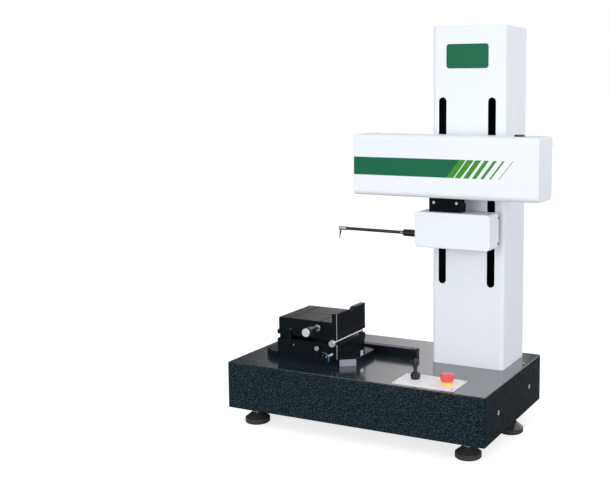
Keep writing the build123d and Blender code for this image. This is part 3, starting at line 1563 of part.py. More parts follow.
# Tilt plate: two hinge lugs, pockets over the base's lugs, the key that guides the top,
# the post that stops the spindle, and a strap in front that hangs down over the tilt base
stop_y = stack_front + stop_distance
strap_top = tilt_plate_top - strap_top_gap
with BuildPart() as tilt_plate:
    with BuildSketch(Plane.XY.offset(tilt_plate_bottom)):
        with Locations((stack_x, stack_y)):
            Rectangle(stack_width, stack_depth)
    extrude(amount=tilt_plate_thickness)
    chamfer(tilt_plate.faces().sort_by(Axis.Z)[-1].edges(), fine_edge_break)
    with BuildSketch(Plane.XY.offset(tilt_plate_bottom)):
        with Locations(*[(stack_right, lug_y + hinge_lug_length / 2) for lug_y in base_lug_ys]):
            Rectangle(
                2 * (lug_width + hinge_pocket_play),
                hinge_lug_length + 2 * hinge_pocket_play,
            )
    extrude(amount=base_lug_top + hinge_pocket_play - tilt_plate_bottom, mode=Mode.SUBTRACT)
    for lug_y in tilt_lug_ys:
        with BuildSketch(Plane.XZ.offset(-lug_y)):
            with Locations((stack_right, hinge_z - hinge_lug_reach)):
                Rectangle(
                    lug_width,
                    tilt_plate_bottom + tilt_plate_thickness / 2 - hinge_z + hinge_lug_reach,
                    align=(Align.MAX, Align.MIN),
                )
        extrude(amount=-hinge_lug_length)
    with BuildSketch(Plane.XZ.offset(-stack_front)):
        with Locations((hinge_x, hinge_z)):
            Circle(rod_radius + running_fit)
    extrude(amount=-stack_depth, mode=Mode.SUBTRACT)
    with BuildSketch(Plane.XY.offset(tilt_plate_top)):
        with Locations((stack_x - fence_thickness / 2 - table_key_width / 2, stack_y)):
            Rectangle(table_key_width, stack_depth)
    extrude(amount=table_key_height)
    with BuildSketch(Plane.XY.offset(tilt_plate_top)):
        with Locations((micrometer_x, stop_y)):
            Rectangle(stop_post_width, stop_post_depth, align=(Align.CENTER, Align.MIN))
    extrude(amount=stop_post_height)
    with BuildSketch(Plane.XZ.offset(-stack_front)):
        with Locations((strap_x, tilt_plate_bottom)):
            Rectangle(strap_width, strap_top - tilt_plate_bottom, align=(Align.CENTER, Align.MIN))
    extrude(amount=free_gap)
    with BuildSketch(Plane.XZ.offset(-stack_front + free_gap)):
        with Locations((strap_x, (strap_bottom + strap_top) / 2)):
            Rectangle(strap_width, strap_top - strap_bottom)
    extrude(amount=strap_thickness)
    chamfer(tilt_plate.faces().sort_by(Axis.Y)[0].edges(), fine_edge_break)
finish(tilt_plate.part, "tilt_plate")

# Table top: keyed below, with a pocket round the stop post and grooves and holes above
stop_pocket_margin = micrometer_travel + stop_pocket_play
with BuildPart() as table_top:
    with BuildSketch(Plane.XY.offset(block_bottom)):
        with Locations((block_x, stack_y)):
            Rectangle(block_width_x, stack_depth)
    extrude(amount=table_top_thickness)
    chamfer(table_top.faces().sort_by(Axis.Z)[-1].edges(), edge_break)
    with BuildSketch(Plane.XY.offset(block_bottom)):
        with Locations((stack_x - fence_thickness / 2 - table_key_width / 2, stack_y)):
            Rectangle(table_key_width + 2 * slide_gap, stack_depth)
    extrude(amount=table_key_height, mode=Mode.SUBTRACT)
    with BuildSketch(Plane.XY.offset(block_bottom)):
        with Locations((micrometer_x, stop_y + stop_post_depth / 2)):
            Rectangle(stop_post_width + 2 * stop_pocket_play, stop_post_depth + 2 * stop_pocket_margin)
    extrude(amount=stop_post_height + stop_post_headroom, mode=Mode.SUBTRACT)
    with BuildSketch(Plane.XZ.offset(-stack_front)):
        with Locations((micrometer_x, micrometer_z)):
            Circle(spindle_radius + free_gap)
    extrude(amount=-stop_distance, mode=Mode.SUBTRACT)
    with BuildSketch(Plane.XY.offset(block_top)):
        with Locations((block_x, stack_y)):
            with GridLocations(groove_pitch, 1, 2, 1):
                Rectangle(groove_width, stack_depth)
            Rectangle(block_width_x, groove_width)
    extrude(amount=-groove_depth, mode=Mode.SUBTRACT)
    with BuildSketch(Plane.XY.offset(block_top)):
        with Locations((block_x, stack_y)):
            with GridLocations(top_hole_pitch_x, top_hole_pitch_y, 3, 2):
                Circle(top_hole_radius)
    extrude(amount=-top_hole_depth, mode=Mode.SUBTRACT)
finish(table_top.part, "table_top")

# Fence bolted to the right side of the table top, with a wide notch in its upper edge
fence_top = block_top + fence_rise
notch_y = stack_front + fence_notch_start + fence_notch_width / 2
with BuildPart() as table_fence:
    with BuildSketch(Plane.YZ.offset(stack_right - fence_thickness)):
        with BuildLine():
            Polyline(
                (stack_front, block_bottom),
                (stack_front, fence_top),
                (notch_y - fence_notch_width / 2, fence_top),
                (notch_y, fence_top - fence_notch_depth),
                (notch_y + fence_notch_width / 2, fence_top),
                (stack_back, fence_top),
                (stack_back, block_bottom),
                close=True,
            )
        make_face()
    extrude(amount=fence_thickness)
    chamfer(table_fence.faces().sort_by(Axis.X)[-1].edges(), fine_edge_break)
finish(table_fence.part, "table_fence")

# Micrometer sleeve on the front of the table top
with BuildPart() as micrometer_sleeve:
    with BuildSketch(Plane.XZ.offset(-stack_front)):
        with Locations((micrometer_x, micrometer_z)):
            Circle(sleeve_flange_radius)
    extrude(amount=sleeve_flange_thickness)
    with BuildSketch(Plane.XZ.offset(-stack_front)):
        with Locations((micrometer_x, micrometer_z)):
            Circle(sleeve_radius)
    extrude(amount=sleeve_length)
    with BuildSketch(Plane.XZ.offset(-stack_front)):
        with Locations((micrometer_x, micrometer_z)):
            Circle(spindle_radius + free_gap)
    extrude(amount=sleeve_length, mode=Mode.SUBTRACT)
finish(micrometer_sleeve.part, "micrometer_sleeve")

# Micrometer thimble and spindle: a tapered barrel with a wide front grip
thimble_back = stack_front - sleeve_flange_thickness - micrometer_travel - thimble_end_gap
thimble_front = thimble_back - thimble_length
with BuildPart() as micrometer_thimble:
    with BuildSketch(Plane.XY.offset(micrometer_z)):
        with BuildLine():
            Polyline(
                (micrometer_x, thimble_front),
                (micrometer_x + thimble_front_radius - edge_break, thimble_front),
                (micrometer_x + thimble_front_radius, thimble_front + edge_break),
                (micrometer_x + thimble_front_radius, thimble_front + thimble_grip_length),
                (micrometer_x + thimble_back_radius, thimble_back),
                (micrometer_x + thimble_bore_radius, thimble_back),
                (micrometer_x + thimble_bore_radius, thimble_back - thimble_bore_depth),
                (micrometer_x + spindle_radius, thimble_back - thimble_bore_depth),
                (micrometer_x + spindle_radius, stop_y - free_gap),
                (micrometer_x, stop_y - free_gap),
                close=True,
            )
        make_face()
    revolve(axis=Axis((micrometer_x, 0, micrometer_z), (0, 1, 0)))
finish(micrometer_thimble.part, "micrometer_thimble")
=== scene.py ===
import json
from math import cos, pi, radians, sin

import bmesh
import bpy
from mathutils import Euler, Matrix, Vector


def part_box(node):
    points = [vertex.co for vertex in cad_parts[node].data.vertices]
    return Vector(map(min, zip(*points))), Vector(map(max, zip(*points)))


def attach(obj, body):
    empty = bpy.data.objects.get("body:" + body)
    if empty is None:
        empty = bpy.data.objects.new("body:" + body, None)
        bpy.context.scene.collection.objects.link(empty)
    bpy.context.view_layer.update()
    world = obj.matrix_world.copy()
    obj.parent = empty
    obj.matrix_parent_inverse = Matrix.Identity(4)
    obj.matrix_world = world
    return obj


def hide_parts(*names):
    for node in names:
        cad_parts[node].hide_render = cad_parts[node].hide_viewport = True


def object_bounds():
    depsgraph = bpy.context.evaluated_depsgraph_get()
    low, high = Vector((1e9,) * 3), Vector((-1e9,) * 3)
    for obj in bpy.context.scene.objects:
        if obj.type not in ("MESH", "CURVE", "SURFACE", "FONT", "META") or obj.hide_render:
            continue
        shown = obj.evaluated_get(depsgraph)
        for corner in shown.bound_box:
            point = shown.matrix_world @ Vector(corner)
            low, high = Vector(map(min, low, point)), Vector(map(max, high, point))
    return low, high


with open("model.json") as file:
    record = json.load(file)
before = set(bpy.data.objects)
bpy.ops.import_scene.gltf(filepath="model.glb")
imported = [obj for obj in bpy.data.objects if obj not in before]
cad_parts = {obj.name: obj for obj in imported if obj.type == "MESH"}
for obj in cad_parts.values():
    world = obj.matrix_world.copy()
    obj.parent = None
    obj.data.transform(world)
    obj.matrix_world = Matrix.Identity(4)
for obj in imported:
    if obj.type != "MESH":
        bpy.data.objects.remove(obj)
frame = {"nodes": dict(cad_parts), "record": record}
cad_low, cad_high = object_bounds()

# The camera, in metres and photograph pixels, found from the corners of the base, column,
# drive unit and detector
image_width, image_height = 611, 493
camera_place = Vector((1.2656, -2.4887, 0.7783))
camera_turn_left = radians(24.92)
camera_tip_down = radians(6.63)
camera_roll = radians(0.03)
camera_far_limit = 60
focal_pixels = 971.1
sensor_width = 36.0
optical_centre_x, optical_centre_y = 420, 205


class Box:
    """Where a node of the frame is at rest, in millimetres to a tenth."""

    def __init__(self, node):
        low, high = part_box(node)
        self.left, self.front, self.bottom = (round(1000 * value, 1) for value in low)
        self.right, self.back, self.top = (round(1000 * value, 1) for value in high)
        self.middle_x, self.middle_y, self.middle_z = (
            round(500 * (lower + higher), 1) for lower, higher in zip(low, high))
        self.half_width = (self.right - self.left) / 2
        self.half_depth = (self.back - self.front) / 2
        self.half_height = (self.top - self.bottom) / 2


# The nodes that the pieces and finishes of this script take their places from
base = Box("granite_base")
column, badge, rear_panel = Box("column_cover"), Box("column_badge"), Box("column_rear_panel")
drive, lid, gland = Box("drive_end_plates"), Box("drive_top_lid"), Box("cable_gland")
table, thimble = Box("tilt_base"), Box("micrometer_thimble")
rod_knob, lock_knob, handwheel = Box("rod_knob"), Box("lock_knob"), Box("swivel_knob")
panel, joystick, stop_button = Box("control_panel"), Box("joystick_bezel"), Box("estop_collar")

# Sizes and places on the part, in millimetres: first its base and column
cover_skin, corner_skin = 0.8, 8.4
badge_corner, badge_border_width = 8.0, 2.0
rear_screw_rows = 5
rear_screw_inset_x, rear_screw_inset_z = 7.0, 12.0
brass_insert_from_right, brass_insert_y = 16.1, 120.2

# Drive unit and stylus arm
band_from_bottom, band_height, band_left_inset = 57.6, 49.3, 3.0
# From the left end of the drive unit: the left and right end of each stripe's lower edge, then of its
# upper edge
band_stripes = (
    (283.0, 304.6, 321.4, 340.3), (307.4, 324.8, 343.5, 363.4), (332.9, 347.8, 367.4, 384.4),
    (357.5, 369.7, 393.1, 405.7), (381.6, 390.3, 418.6, 428.3), (406.1, 411.2, 443.9, 449.7),
    (431.9, 433.9, 470.9, 472.8),
)
lid_screw_inset = 9.0
collar_start = (136.7, -52.0, 385.4)
collar_drop = radians(0.3)
collar_radius, collar_ridges_start = 9.8, 9.8

# Adjusting table
barrel_length, barrel_grip_end, barrel_neck_radius, barrel_bevel = 52.0, 15.0, 8.5, 7.0
sleeve_radius, sleeve_marks_gap, sleeve_marks_turn = 6.0, 3.5, radians(-60)
lock_knob_length = 16.0
pin_angle, pin_reach, spoke_thickness = radians(100), 8.5, 5.0
# From the left end and the bottom of the tilt base
tilt_base_screw_x, tilt_base_screw_z = 55.5, 5.3
table_top_screw_x, table_top_screw_z = 45.5, 51.5

# Control panel: the bars' ends and edges are measured from the middle of the stop button
joystick_screw_x, joystick_screw_y = 25.0, 21.0
joystick_pivot_z = -2.0
boot_inner_radius, boot_top_angle, boot_rim_angle = 15.9, 0.164, 0.874
panel_bar_ends = ((-37.0, -23.0), (-20.0, -10.0))
panel_bar_front, panel_bar_back = -29.5, -28.0

# Films, prints and ridges, and how deep they are set into what carries them
film_thickness, film_set_in = 0.2, 0.1
print_height, ridge_set_in = 0.06, 0.3
weld_distance = 1e-6
# How many steps the round shapes have
loop_steps, turned_steps, rim_steps, corner_steps, lining_steps = 24, 48, 36, 8, 6
FRONT, BACK, UP = (0, -1, 0), (0, 1, 0), (0, 0, 1)

# Studio, in metres and watts: each lamp has a place, an aim, a side length and a power
lamps = (
    ("key", (-1.2, -6.0, 1.1), (0.1, 0, 0.4), 3.0, 117),
    ("side", (6.0, -2.5, 1.2), (0.2, 0, 0.4), 3.0, 118),
    ("top", (0.3, -1.8, 3.0), (0.2, -0.1, 0.2), 1.6, 5),
)
soft_light_colour, soft_light_strength = (0.95, 0.97, 1.0, 1), 0.79
mirrored_strength, mirrored_green = 1.15, 0.965
floor_half_side, floor_grey, floor_glow = 14.0, 0.5, 0.75
# How bright the mirrored studio is towards the left (-1) and the right (1): two dark strips, else white
mirror_stops = ((-0.56, 0.06), (-0.38, 1), (-0.320, 1), (-0.309, 0.08), (-0.23, 0.08), (-0.21, 1))


def make_camera():
    """The camera at the viewing angle of the photograph."""
    data = bpy.data.cameras.new("camera")
    data.sensor_width = sensor_width
    data.lens = focal_pixels * sensor_width / image_width
    data.shift_x = (image_width / 2 - optical_centre_x) / image_width
    data.shift_y = (optical_centre_y - image_height / 2) / image_width
    data.clip_end = camera_far_limit
    camera = bpy.data.objects.new("camera", data)
    bpy.context.collection.objects.link(camera)
    camera.location = camera_place
    camera.rotation_euler = Euler((pi / 2 - camera_tip_down, -camera_roll, camera_turn_left), "XYZ")
    bpy.context.scene.camera = camera


class Finish:
    """One material: a shader with its fixed values, and short calls for the textures that vary it."""

    def __init__(self, name, colour, roughness, **sockets):
        """A shader with a colour, a roughness and other sockets of its own set by name."""
        self.material = bpy.data.materials.new(name)
        self.material.use_nodes = True
        self.tree = self.material.node_tree
        self.shader = self.tree.nodes["Principled BSDF"]
        self.shader.inputs["Base Color"].default_value = (*colour, 1)
        self.shader.inputs["Roughness"].default_value = roughness
        for socket, value in sockets.items():
            self.shader.inputs[socket.replace("_", " ")].default_value = value

    def node(self, kind, **inputs):
        """A node with fixed values; an underscore in a socket's name stands for a space."""
        made = self.tree.nodes.new(kind)
        for socket, value in inputs.items():
            made.inputs[socket.replace("_", " ")].default_value = value
        return made

    def link(self, output, target):
        """Joins an output to a socket."""
        self.tree.links.new(output, target)

    def place(self):
        """The place on the part, in metres."""
        return self.node("ShaderNodeTexCoord").outputs["Object"]

    def normal(self):
        """The way that the surface faces, in the frame of the part."""
        return self.node("ShaderNodeTexCoord").outputs["Normal"]

    def along(self, axis):
        """The place along one axis of the part, in metres."""
        split = self.node("ShaderNodeSeparateXYZ")
        self.link(self.place(), split.inputs[0])
        return split.outputs[axis]

    def noise(self, scale, detail=2.0, stretch=(1, 1, 1), distortion=0.0):
        """An uneven pattern between 0 and 1, drawn out along the axes that stretch makes small."""
        mapping = self.node("ShaderNodeMapping", Scale=stretch)
        made = self.node("ShaderNodeTexNoise", Scale=scale, Detail=detail, Distortion=distortion)
        self.link(self.place(), mapping.inputs["Vector"])
        self.link(mapping.outputs["Vector"], made.inputs["Vector"])
        return made.outputs["Fac"]

    def grain(self):
        """The fine grain of a blackened or painted surface."""
        return self.noise(scale=260, detail=3)

    def lines(self, stretch):
        """The fine lines that turning, drawing or grinding leaves."""
        return self.noise(scale=90, detail=3, stretch=stretch)

    def span(self, value, low, high, to_low, to_high):
        """Maps low to to_low and high to to_high, and holds those beyond."""
        made = self.node("ShaderNodeMapRange", From_Min=low, From_Max=high, To_Min=to_low, To_Max=to_high)
        self.link(value, made.inputs["Value"])
        return made.outputs["Result"]

    def mask(self, value, off, on):
        """0 at off and 1 at on, with a ramp between."""
        return self.span(value, off, on, 0, 1)

    def past(self, axis, off, on):
        """The same along one axis of the part, in millimetres."""
        return self.mask(self.along(axis), off / 1000, on / 1000)

    def maths(self, operation, *values):
        """One sum on outputs and fixed numbers."""
        made = self.node("ShaderNodeMath")
        made.operation = operation
        for socket, value in zip(made.inputs, values):
            if isinstance(value, float):
                socket.default_value = value
            else:
                self.link(value, socket)
        return made.outputs[0]

    def both(self, first, second):
        """1 where both masks are 1."""
        return self.maths("MULTIPLY", first, second)

    def distance(self, axis, middle):
        """How far a place is from a middle plane given in millimetres, in metres."""
        return self.maths("ABSOLUTE", self.maths("SUBTRACT", self.along(axis), middle / 1000))

    def below(self, value, limit, ramp=0.4):
        """1 where a value in metres is below a limit in millimetres."""
        return self.mask(value, limit / 1000, (limit - ramp) / 1000)

    def mix(self, factor, first, second):
        """The first colour where the factor is 0 and the second where it is 1."""
        # Sockets 6 and 7 and output 2 of this node are the ones for colours
        made = self.tree.nodes.new("ShaderNodeMix")
        made.data_type = "RGBA"
        for index, colour in ((6, first), (7, second)):
            if isinstance(colour, tuple):
                made.inputs[index].default_value = (*colour, 1)
            else:
                self.link(colour, made.inputs[index])
        self.link(factor, made.inputs[0])
        return made.outputs[2]

    def colour(self, output):
        """Lets an output give the base colour."""
        self.link(output, self.shader.inputs["Base Color"])
        return self

    def shine(self, sides, top):
        """One share of reflection on the sides and another on the faces that look up."""
        split = self.node("ShaderNodeSeparateXYZ")
        self.link(self.normal(), split.inputs[0])
        upward = self.mask(split.outputs["Z"], 0.6, 0.95)
        self.link(self.span(upward, 0, 1, sides, top), self.shader.inputs["Specular IOR Level"])

    def roughness(self, value, low, high):
        """Lets a pattern vary the roughness between two values."""
        self.link(self.span(value, 0.3, 0.7, low, high), self.shader.inputs["Roughness"])
        return self

    def bump(self, height, distance):
        """Lets a pattern raise the surface by a distance in metres."""
        made = self.node("ShaderNodeBump", Strength=1.0, Distance=distance)
        self.link(height, made.inputs["Height"])
        self.link(made.outputs["Normal"], self.shader.inputs["Normal"])
        return self


# How the lines of a finish are drawn out: round the y axis, or along the x or the z axis
ROUND_Y = (0.3, 14, 0.3)
ALONG_X = (0.3, 9, 9)
ALONG_Z = (9, 9, 0.3)
# How high the patterns stand, in metres
grain_height, peel_height = 0.00003, 0.00004


def granite_finish():
    """Black granite with blue-grey flecks: a lapped, shining top, honed sides, and fewer flecks towards
    the right end, so that it looks darker there.
    """
    made = Finish("granite", (0.006, 0.010, 0.012), roughness=0.16, IOR=2.3)
    made.shine(sides=0.003, top=1.0)
    grain = made.noise(scale=230, detail=2.5, distortion=0.4)
    spark = made.noise(scale=560, detail=1)
    cloud = made.noise(scale=38)
    # Fewer flecks within the last few millimetres towards the right end
    right_end_from, right_end_to = (base.right - 4.0) / 1000, (base.right - 0.5) / 1000
    fewer_flecks_at_right_end = made.span(made.along("X"), right_end_from, right_end_to, 1, 0.3)
    fleck = made.both(made.mask(grain, 0.44, 0.7), fewer_flecks_at_right_end)
    ground = made.mix(made.mask(cloud, 0.35, 0.65), (0.004, 0.008, 0.010), (0.009, 0.014, 0.017))
    blue_grey = made.mix(made.mask(spark, 0.45, 0.65), (0.030, 0.050, 0.060), (0.070, 0.105, 0.118))
    made.colour(made.mix(fleck, ground, blue_grey))
    return made.roughness(grain, 0.12, 0.2)


def enamel_finish(name, colour, shade):
    """Sprayed enamel with a faint orange peel and slow changes of shade."""
    made = Finish(name, colour, roughness=0.38, Specular_IOR_Level=0.4)
    peel = made.noise(scale=700)
    slow = made.mask(made.noise(scale=5, detail=3), 0.3, 0.7)
    made.colour(made.mix(slow, colour, shade))
    return made.roughness(made.noise(scale=60), 0.34, 0.42).bump(peel, peel_height)


def black_finish(name, colour, roughness, specular):
    """A blackened or painted surface with a fine grain."""
    made = Finish(name, colour, roughness, Specular_IOR_Level=specular)
    grain = made.grain()
    lighter = tuple(channel * 1.6 + 0.001 for channel in colour)
    made.colour(made.mix(grain, colour, lighter))
    return made.roughness(grain, roughness * 0.85, roughness * 1.2).bump(grain, grain_height)


def table_finish():
    """Blackened steel with a painted highlight, light grey, along its front right corner edge."""
    made = Finish("table_black", (0.004, 0.006, 0.008), roughness=0.2)
    made.shine(sides=0.03, top=0.3)
    grain = made.grain()
    highlight_at_right = made.past("X", table.right - 0.8, table.right - 0.3)
    highlight_at_front = made.past("Y", table.front + 2.6, table.front + 1.4)
    black = made.mix(grain, (0.003, 0.005, 0.006), (0.010, 0.013, 0.016))
    # Painted highlight: the front right corner edge is coloured light grey
    made.colour(made.mix(made.both(highlight_at_right, highlight_at_front), black, (0.50, 0.50, 0.54)))
    return made.roughness(grain, 0.16, 0.26).bump(grain, grain_height)


def cover_finish_with_painted_shade():
    """White enamel outside; inside the walls of the column the cover is painted near black, as painted
    shade behind its slots.
    """
    made = enamel_finish("column_enamel_with_painted_shade", (0.84, 0.87, 0.91), (0.82, 0.85, 0.89))
    enamel = made.shader.inputs["Base Color"].links[0].from_socket
    from_x, from_y = made.distance("X", column.middle_x), made.distance("Y", column.middle_y)
    walls = made.both(made.below(from_x, column.half_width - cover_skin),
                      made.below(from_y, column.half_depth - cover_skin))
    corners = made.below(made.maths("ADD", from_x, from_y),
                         column.half_width + column.half_depth - corner_skin)
    top = made.below(made.along("Z"), column.top - cover_skin)
    inside = made.both(made.both(walls, corners), top)
    # Painted shade: the inside of the cover is coloured near black
    made.colour(made.mix(inside, enamel, (0.002, 0.005, 0.007)))
    return made


def thimble_finish():
    """Chrome with fine turning lines, with painted shade that makes the barrel and the spindle dull and
    dark, and a painted highlight that makes the front disc bright.
    """
    made = Finish("thimble_chrome_painted_light", (0.2, 0.2, 0.21), roughness=0.35, Metallic=1.0)
    lines = made.lines(ROUND_Y)
    front = made.past("Y", thimble.front + 1.2, thimble.front + 0.4)
    barrel = made.mix(lines, (0.07, 0.075, 0.08), (0.16, 0.165, 0.17))
    # Painted highlight on the front disc, painted shade on the barrel
    made.colour(made.mix(front, barrel, (0.85, 0.86, 0.88)))
    return made.roughness(lines, 0.3, 0.42)


def painted_highlight_face_finish(name, direction, ground):
    """Blackened steel with a painted highlight: its face towards one direction is coloured in the given
    lighter colour.
    """
    made = Finish(name, (0.004, 0.006, 0.008), roughness=0.2)
    made.shine(sides=0.03, top=0.25)
    grain = made.grain()
    towards = made.node("ShaderNodeVectorMath")
    towards.operation = "DOT_PRODUCT"
    towards.inputs[1].default_value = direction
    made.link(made.normal(), towards.inputs[0])
    face = made.mask(towards.outputs["Value"], 0.97, 0.99)
    black = made.mix(grain, (0.003, 0.005, 0.008), (0.010, 0.014, 0.020))
    # Painted highlight: the face towards the direction takes the lighter colour
    made.colour(made.mix(face, black, ground))
    return made.roughness(grain, 0.16, 0.26)


def metal_finish(name, colour, roughness, stretch):
    """Bare metal with fine lines from turning or drawing."""
    made = Finish(name, colour, roughness, Metallic=1.0)
    lines = made.lines(stretch)
    darker = tuple(channel * 0.72 for channel in colour)
    made.colour(made.mix(lines, darker, colour))
    return made.roughness(lines, roughness * 0.75, roughness * 1.3).bump(lines, grain_height)


def moulded_finish(name, colour, roughness, specular=0.5, speckle=500):
    """Moulded plastic, rubber or a printed film."""
    made = Finish(name, colour, roughness, Specular_IOR_Level=specular)
    grain = made.noise(scale=speckle)
    darker = tuple(channel * 0.85 for channel in colour)
    made.colour(made.mix(grain, darker, colour))
    return made.roughness(grain, roughness * 0.85, roughness * 1.2).bump(grain, grain_height)


finishes = {
    "granite": granite_finish(),
    "foot_plastic": moulded_finish("foot_plastic", (0.040, 0.038, 0.036), 0.2, 0.8, speckle=200),
    "zinc_steel": metal_finish("zinc_steel", (0.58, 0.58, 0.57), 0.3, ALONG_Z),
    "bright_steel": metal_finish("bright_steel", (0.66, 0.66, 0.67), 0.2, ROUND_Y),
    "insert_steel": metal_finish("insert_steel", (0.78, 0.72, 0.62), 0.25, ALONG_Z),
    "black_anodised": black_finish("black_anodised", (0.001, 0.003, 0.004), 0.35, 0.03),
    "black_oxide": black_finish("black_oxide", (0.026, 0.026, 0.026), 0.35, 0.5),
    "white_enamel": enamel_finish("white_enamel", (0.86, 0.89, 0.93), (0.84, 0.87, 0.91)),
    "badge_green": moulded_finish("badge_green", (0.013, 0.148, 0.072), 0.35, 0.06),
    # Painted near black as painted shade, so that the post inside the column looks dark through the
    # cover's slots
    "cast_grey": black_finish("cast_grey", (0.001, 0.003, 0.005), 0.6, 0.05),
    "ground_steel": metal_finish("ground_steel", (0.45, 0.45, 0.46), 0.3, ALONG_Z),
    "motor_black": black_finish("motor_black", (0.010, 0.010, 0.011), 0.45, 0.2),
    "guide_stone": black_finish("guide_stone", (0.05, 0.055, 0.06), 0.3, 0.5),
    "chassis_alu": metal_finish("chassis_alu", (0.7, 0.7, 0.71), 0.35, ALONG_X),
    "panel_white": enamel_finish("panel_white", (0.95, 0.93, 0.93), (0.93, 0.90, 0.90)),
    "red_plastic": moulded_finish("red_plastic", (0.88, 0.10, 0.13), 0.18),
    "yellow_plastic": moulded_finish("yellow_plastic", (0.95, 0.68, 0.04), 0.3),
    "black_plastic": moulded_finish("black_plastic", (0.012, 0.014, 0.018), 0.3),
    "black_rubber": moulded_finish("black_rubber", (0.012, 0.014, 0.018), 0.38),
    "carbon_tube": black_finish("carbon_tube", (0.028, 0.022, 0.020), 0.35, 0.3),
    "table_black": table_finish(),
    "clamp_alu": metal_finish("clamp_alu", (0.62, 0.62, 0.62), 0.3, ALONG_X),
}
# Finishes that differ from those of every slot
leaf_green = moulded_finish("leaf_green", (0.066, 0.30, 0.040), 0.35, 0.06)
marking_grey = moulded_finish("marking_grey", (0.30, 0.30, 0.31), 0.5, 0.2)
white_film = moulded_finish("white_film", (0.93, 0.95, 0.96), 0.3, 0.4)
# A painted reflection: the blue that the rim of the swivel knob mirrors
blue_painted_reflection = moulded_finish("blue_painted_reflection", (0.035, 0.16, 0.42), 0.3, 0.4)
brass = metal_finish("brass", (0.78, 0.56, 0.26), 0.25, ALONG_Z)
thimble_chrome_painted_light = thimble_finish()

# Nodes whose own finish differs from the rest of their slot
own_finishes = {
    "micrometer_thimble": thimble_chrome_painted_light,
    # Painted highlights on the lit corner chamfer of the base plate and on the lit right end of the guide
    # bar
    "table_base_plate": painted_highlight_face_finish("plate_black", (0.607, -0.795, 0), (0.31, 0.31, 0.38)),
    "guide_bar": painted_highlight_face_finish("bar_black", (1, 0, 0), (0.07, 0.075, 0.10)),
    "swivel_shaft": moulded_finish("shaft_chrome", (0.86, 0.86, 0.86), 0.25),
    "swivel_knob": black_finish("wheel_black", (0.003, 0.004, 0.005), 0.35, 0.1),
    "side_inserts": moulded_finish("insert_chrome", (0.66, 0.65, 0.64), 0.3, 0.8),
    "column_cover": cover_finish_with_painted_shade(),
    "arm_collar": moulded_finish("collar_black", (0.016, 0.016, 0.016), 0.4, 0.3),
    "bracket_screws": metal_finish("screw_zinc", (0.36, 0.37, 0.39), 0.35, ALONG_Z),
}


def dress_frame():
    """Gives every node of the frame the finish that its material slot names, or its own one."""
    slots = {row["node"]: row["material_slot"] for row in frame["record"]["subparts"]}
    for name, node in frame["nodes"].items():
        for slot in node.material_slots:
            slot.material = own_finishes.get(name, finishes[slots[name]]).material


def loft(loops):
    """Points and faces of a closed skin through loops of equal length, capped at both ends."""
    count = len(loops[0])
    points = [point for loop in loops for point in loop]
    faces = [tuple(reversed(range(count))), tuple(range(len(points) - count, len(points)))]
    for start in range(0, len(points) - count, count):
        for step in range(count):
            near, far = start + step, start + (step + 1) % count
            faces.append((near, far, far + count, near + count))
    return points, faces


def round_loop(radius, height):
    """A circle round the local z axis."""
    angles = [2 * pi * step / loop_steps for step in range(loop_steps)]
    return [(radius * cos(angle), radius * sin(angle), height) for angle in angles]


def hexagon_loop(flats, height):
    """A hexagon round the local z axis, with the same number of points as a circle."""
    loop = []
    for step in range(loop_steps):
        angle = 2 * pi * step / loop_steps
        from_flat = (angle + pi / 6) % (pi / 3) - pi / 6
        reach = flats / 2 / cos(from_flat)
        loop.append((reach * cos(angle), reach * sin(angle), height))
    return loop


def turned(profile):
    """A closed (radius, height) profile turned round the local z axis, with poles where it ends there."""
    count = len(profile)
    points, faces = [], []
    for step in range(turned_steps):
        angle = 2 * pi * step / turned_steps
        points += [(radius * cos(angle), radius * sin(angle), height) for radius, height in profile]
    for step in range(turned_steps):
        near, far = step * count, (step + 1) % turned_steps * count
        for row in range(count):
            after = (row + 1) % count
            if profile[row][0] or profile[after][0]:
                faces.append((near + row, far + row, far + after, near + after))
    return points, faces


def screw_head(radius, height, socket, depth):
    """A round head with a bevelled edge and a six-sided socket."""
    bevel = height / 4
    return loft([
        round_loop(radius, -film_set_in),
        round_loop(radius, height - bevel),
        round_loop(radius - bevel, height),
        hexagon_loop(socket, height),
        hexagon_loop(socket, height - depth),
    ])


def rib(radius, width, height, start, end):
    """One ridge beside the local z axis, standing height above radius and lower at both ends."""
    low = radius - ridge_set_in
    loops = []
    for along, share in ((start, 0.3), (start + width / 2, 1), (end - width / 2, 1), (end, 0.3)):
        top = radius + height * share
        loops.append([(low, -width / 2, along), (low, width / 2, along),
                      (top, width / 5, along), (top, -width / 5, along)])
    return loft(loops)


def printed_line(radius, half_width, start, end, taper=0.0):
    """A thin line on a round surface beside the local z axis, which falls by taper per millimetre."""
    section = ((-ridge_set_in, -half_width), (-ridge_set_in, half_width),
               (print_height, half_width), (print_height, -half_width))
    loops = []
    for along in (start, end):
        surface = radius - taper * (along - start)
        loops.append([(surface + height, across, along) for height, across in section])
    return loft(loops)


def arc_film(radius, start, end, low, high, thickness):
    """A band laid on part of a rim round the local z axis."""
    inside, outside = radius - film_set_in, radius + thickness
    loops = []
    for step in range(rim_steps + 1):
        angle = start + (end - start) * step / rim_steps
        loops.append([(reach * cos(angle), reach * sin(angle), along) for reach, along in (
            (inside, low), (outside, low), (outside, high), (inside, high))])
    return loft(loops)


def four_sided(low_left, low_right, high_left, high_right, low, high):
    """An outline with two level edges and two others that may slant."""
    return [(low_left, low), (low_right, low), (high_right, high), (high_left, high)]


def flat_piece(outline, y_front):
    """A thin film on a wall that faces the front; the outline is in x and z."""
    return loft([[(x, y, z) for x, z in outline]
                 for y in (y_front + film_set_in, y_front - film_thickness)])


def flat_mark(outline, z_top):
    """A thin print on a surface that faces up; the outline is in x and y."""
    return loft([[(x, y, z) for x, y in outline]
                 for z in (z_top - film_set_in, z_top + film_set_in)])


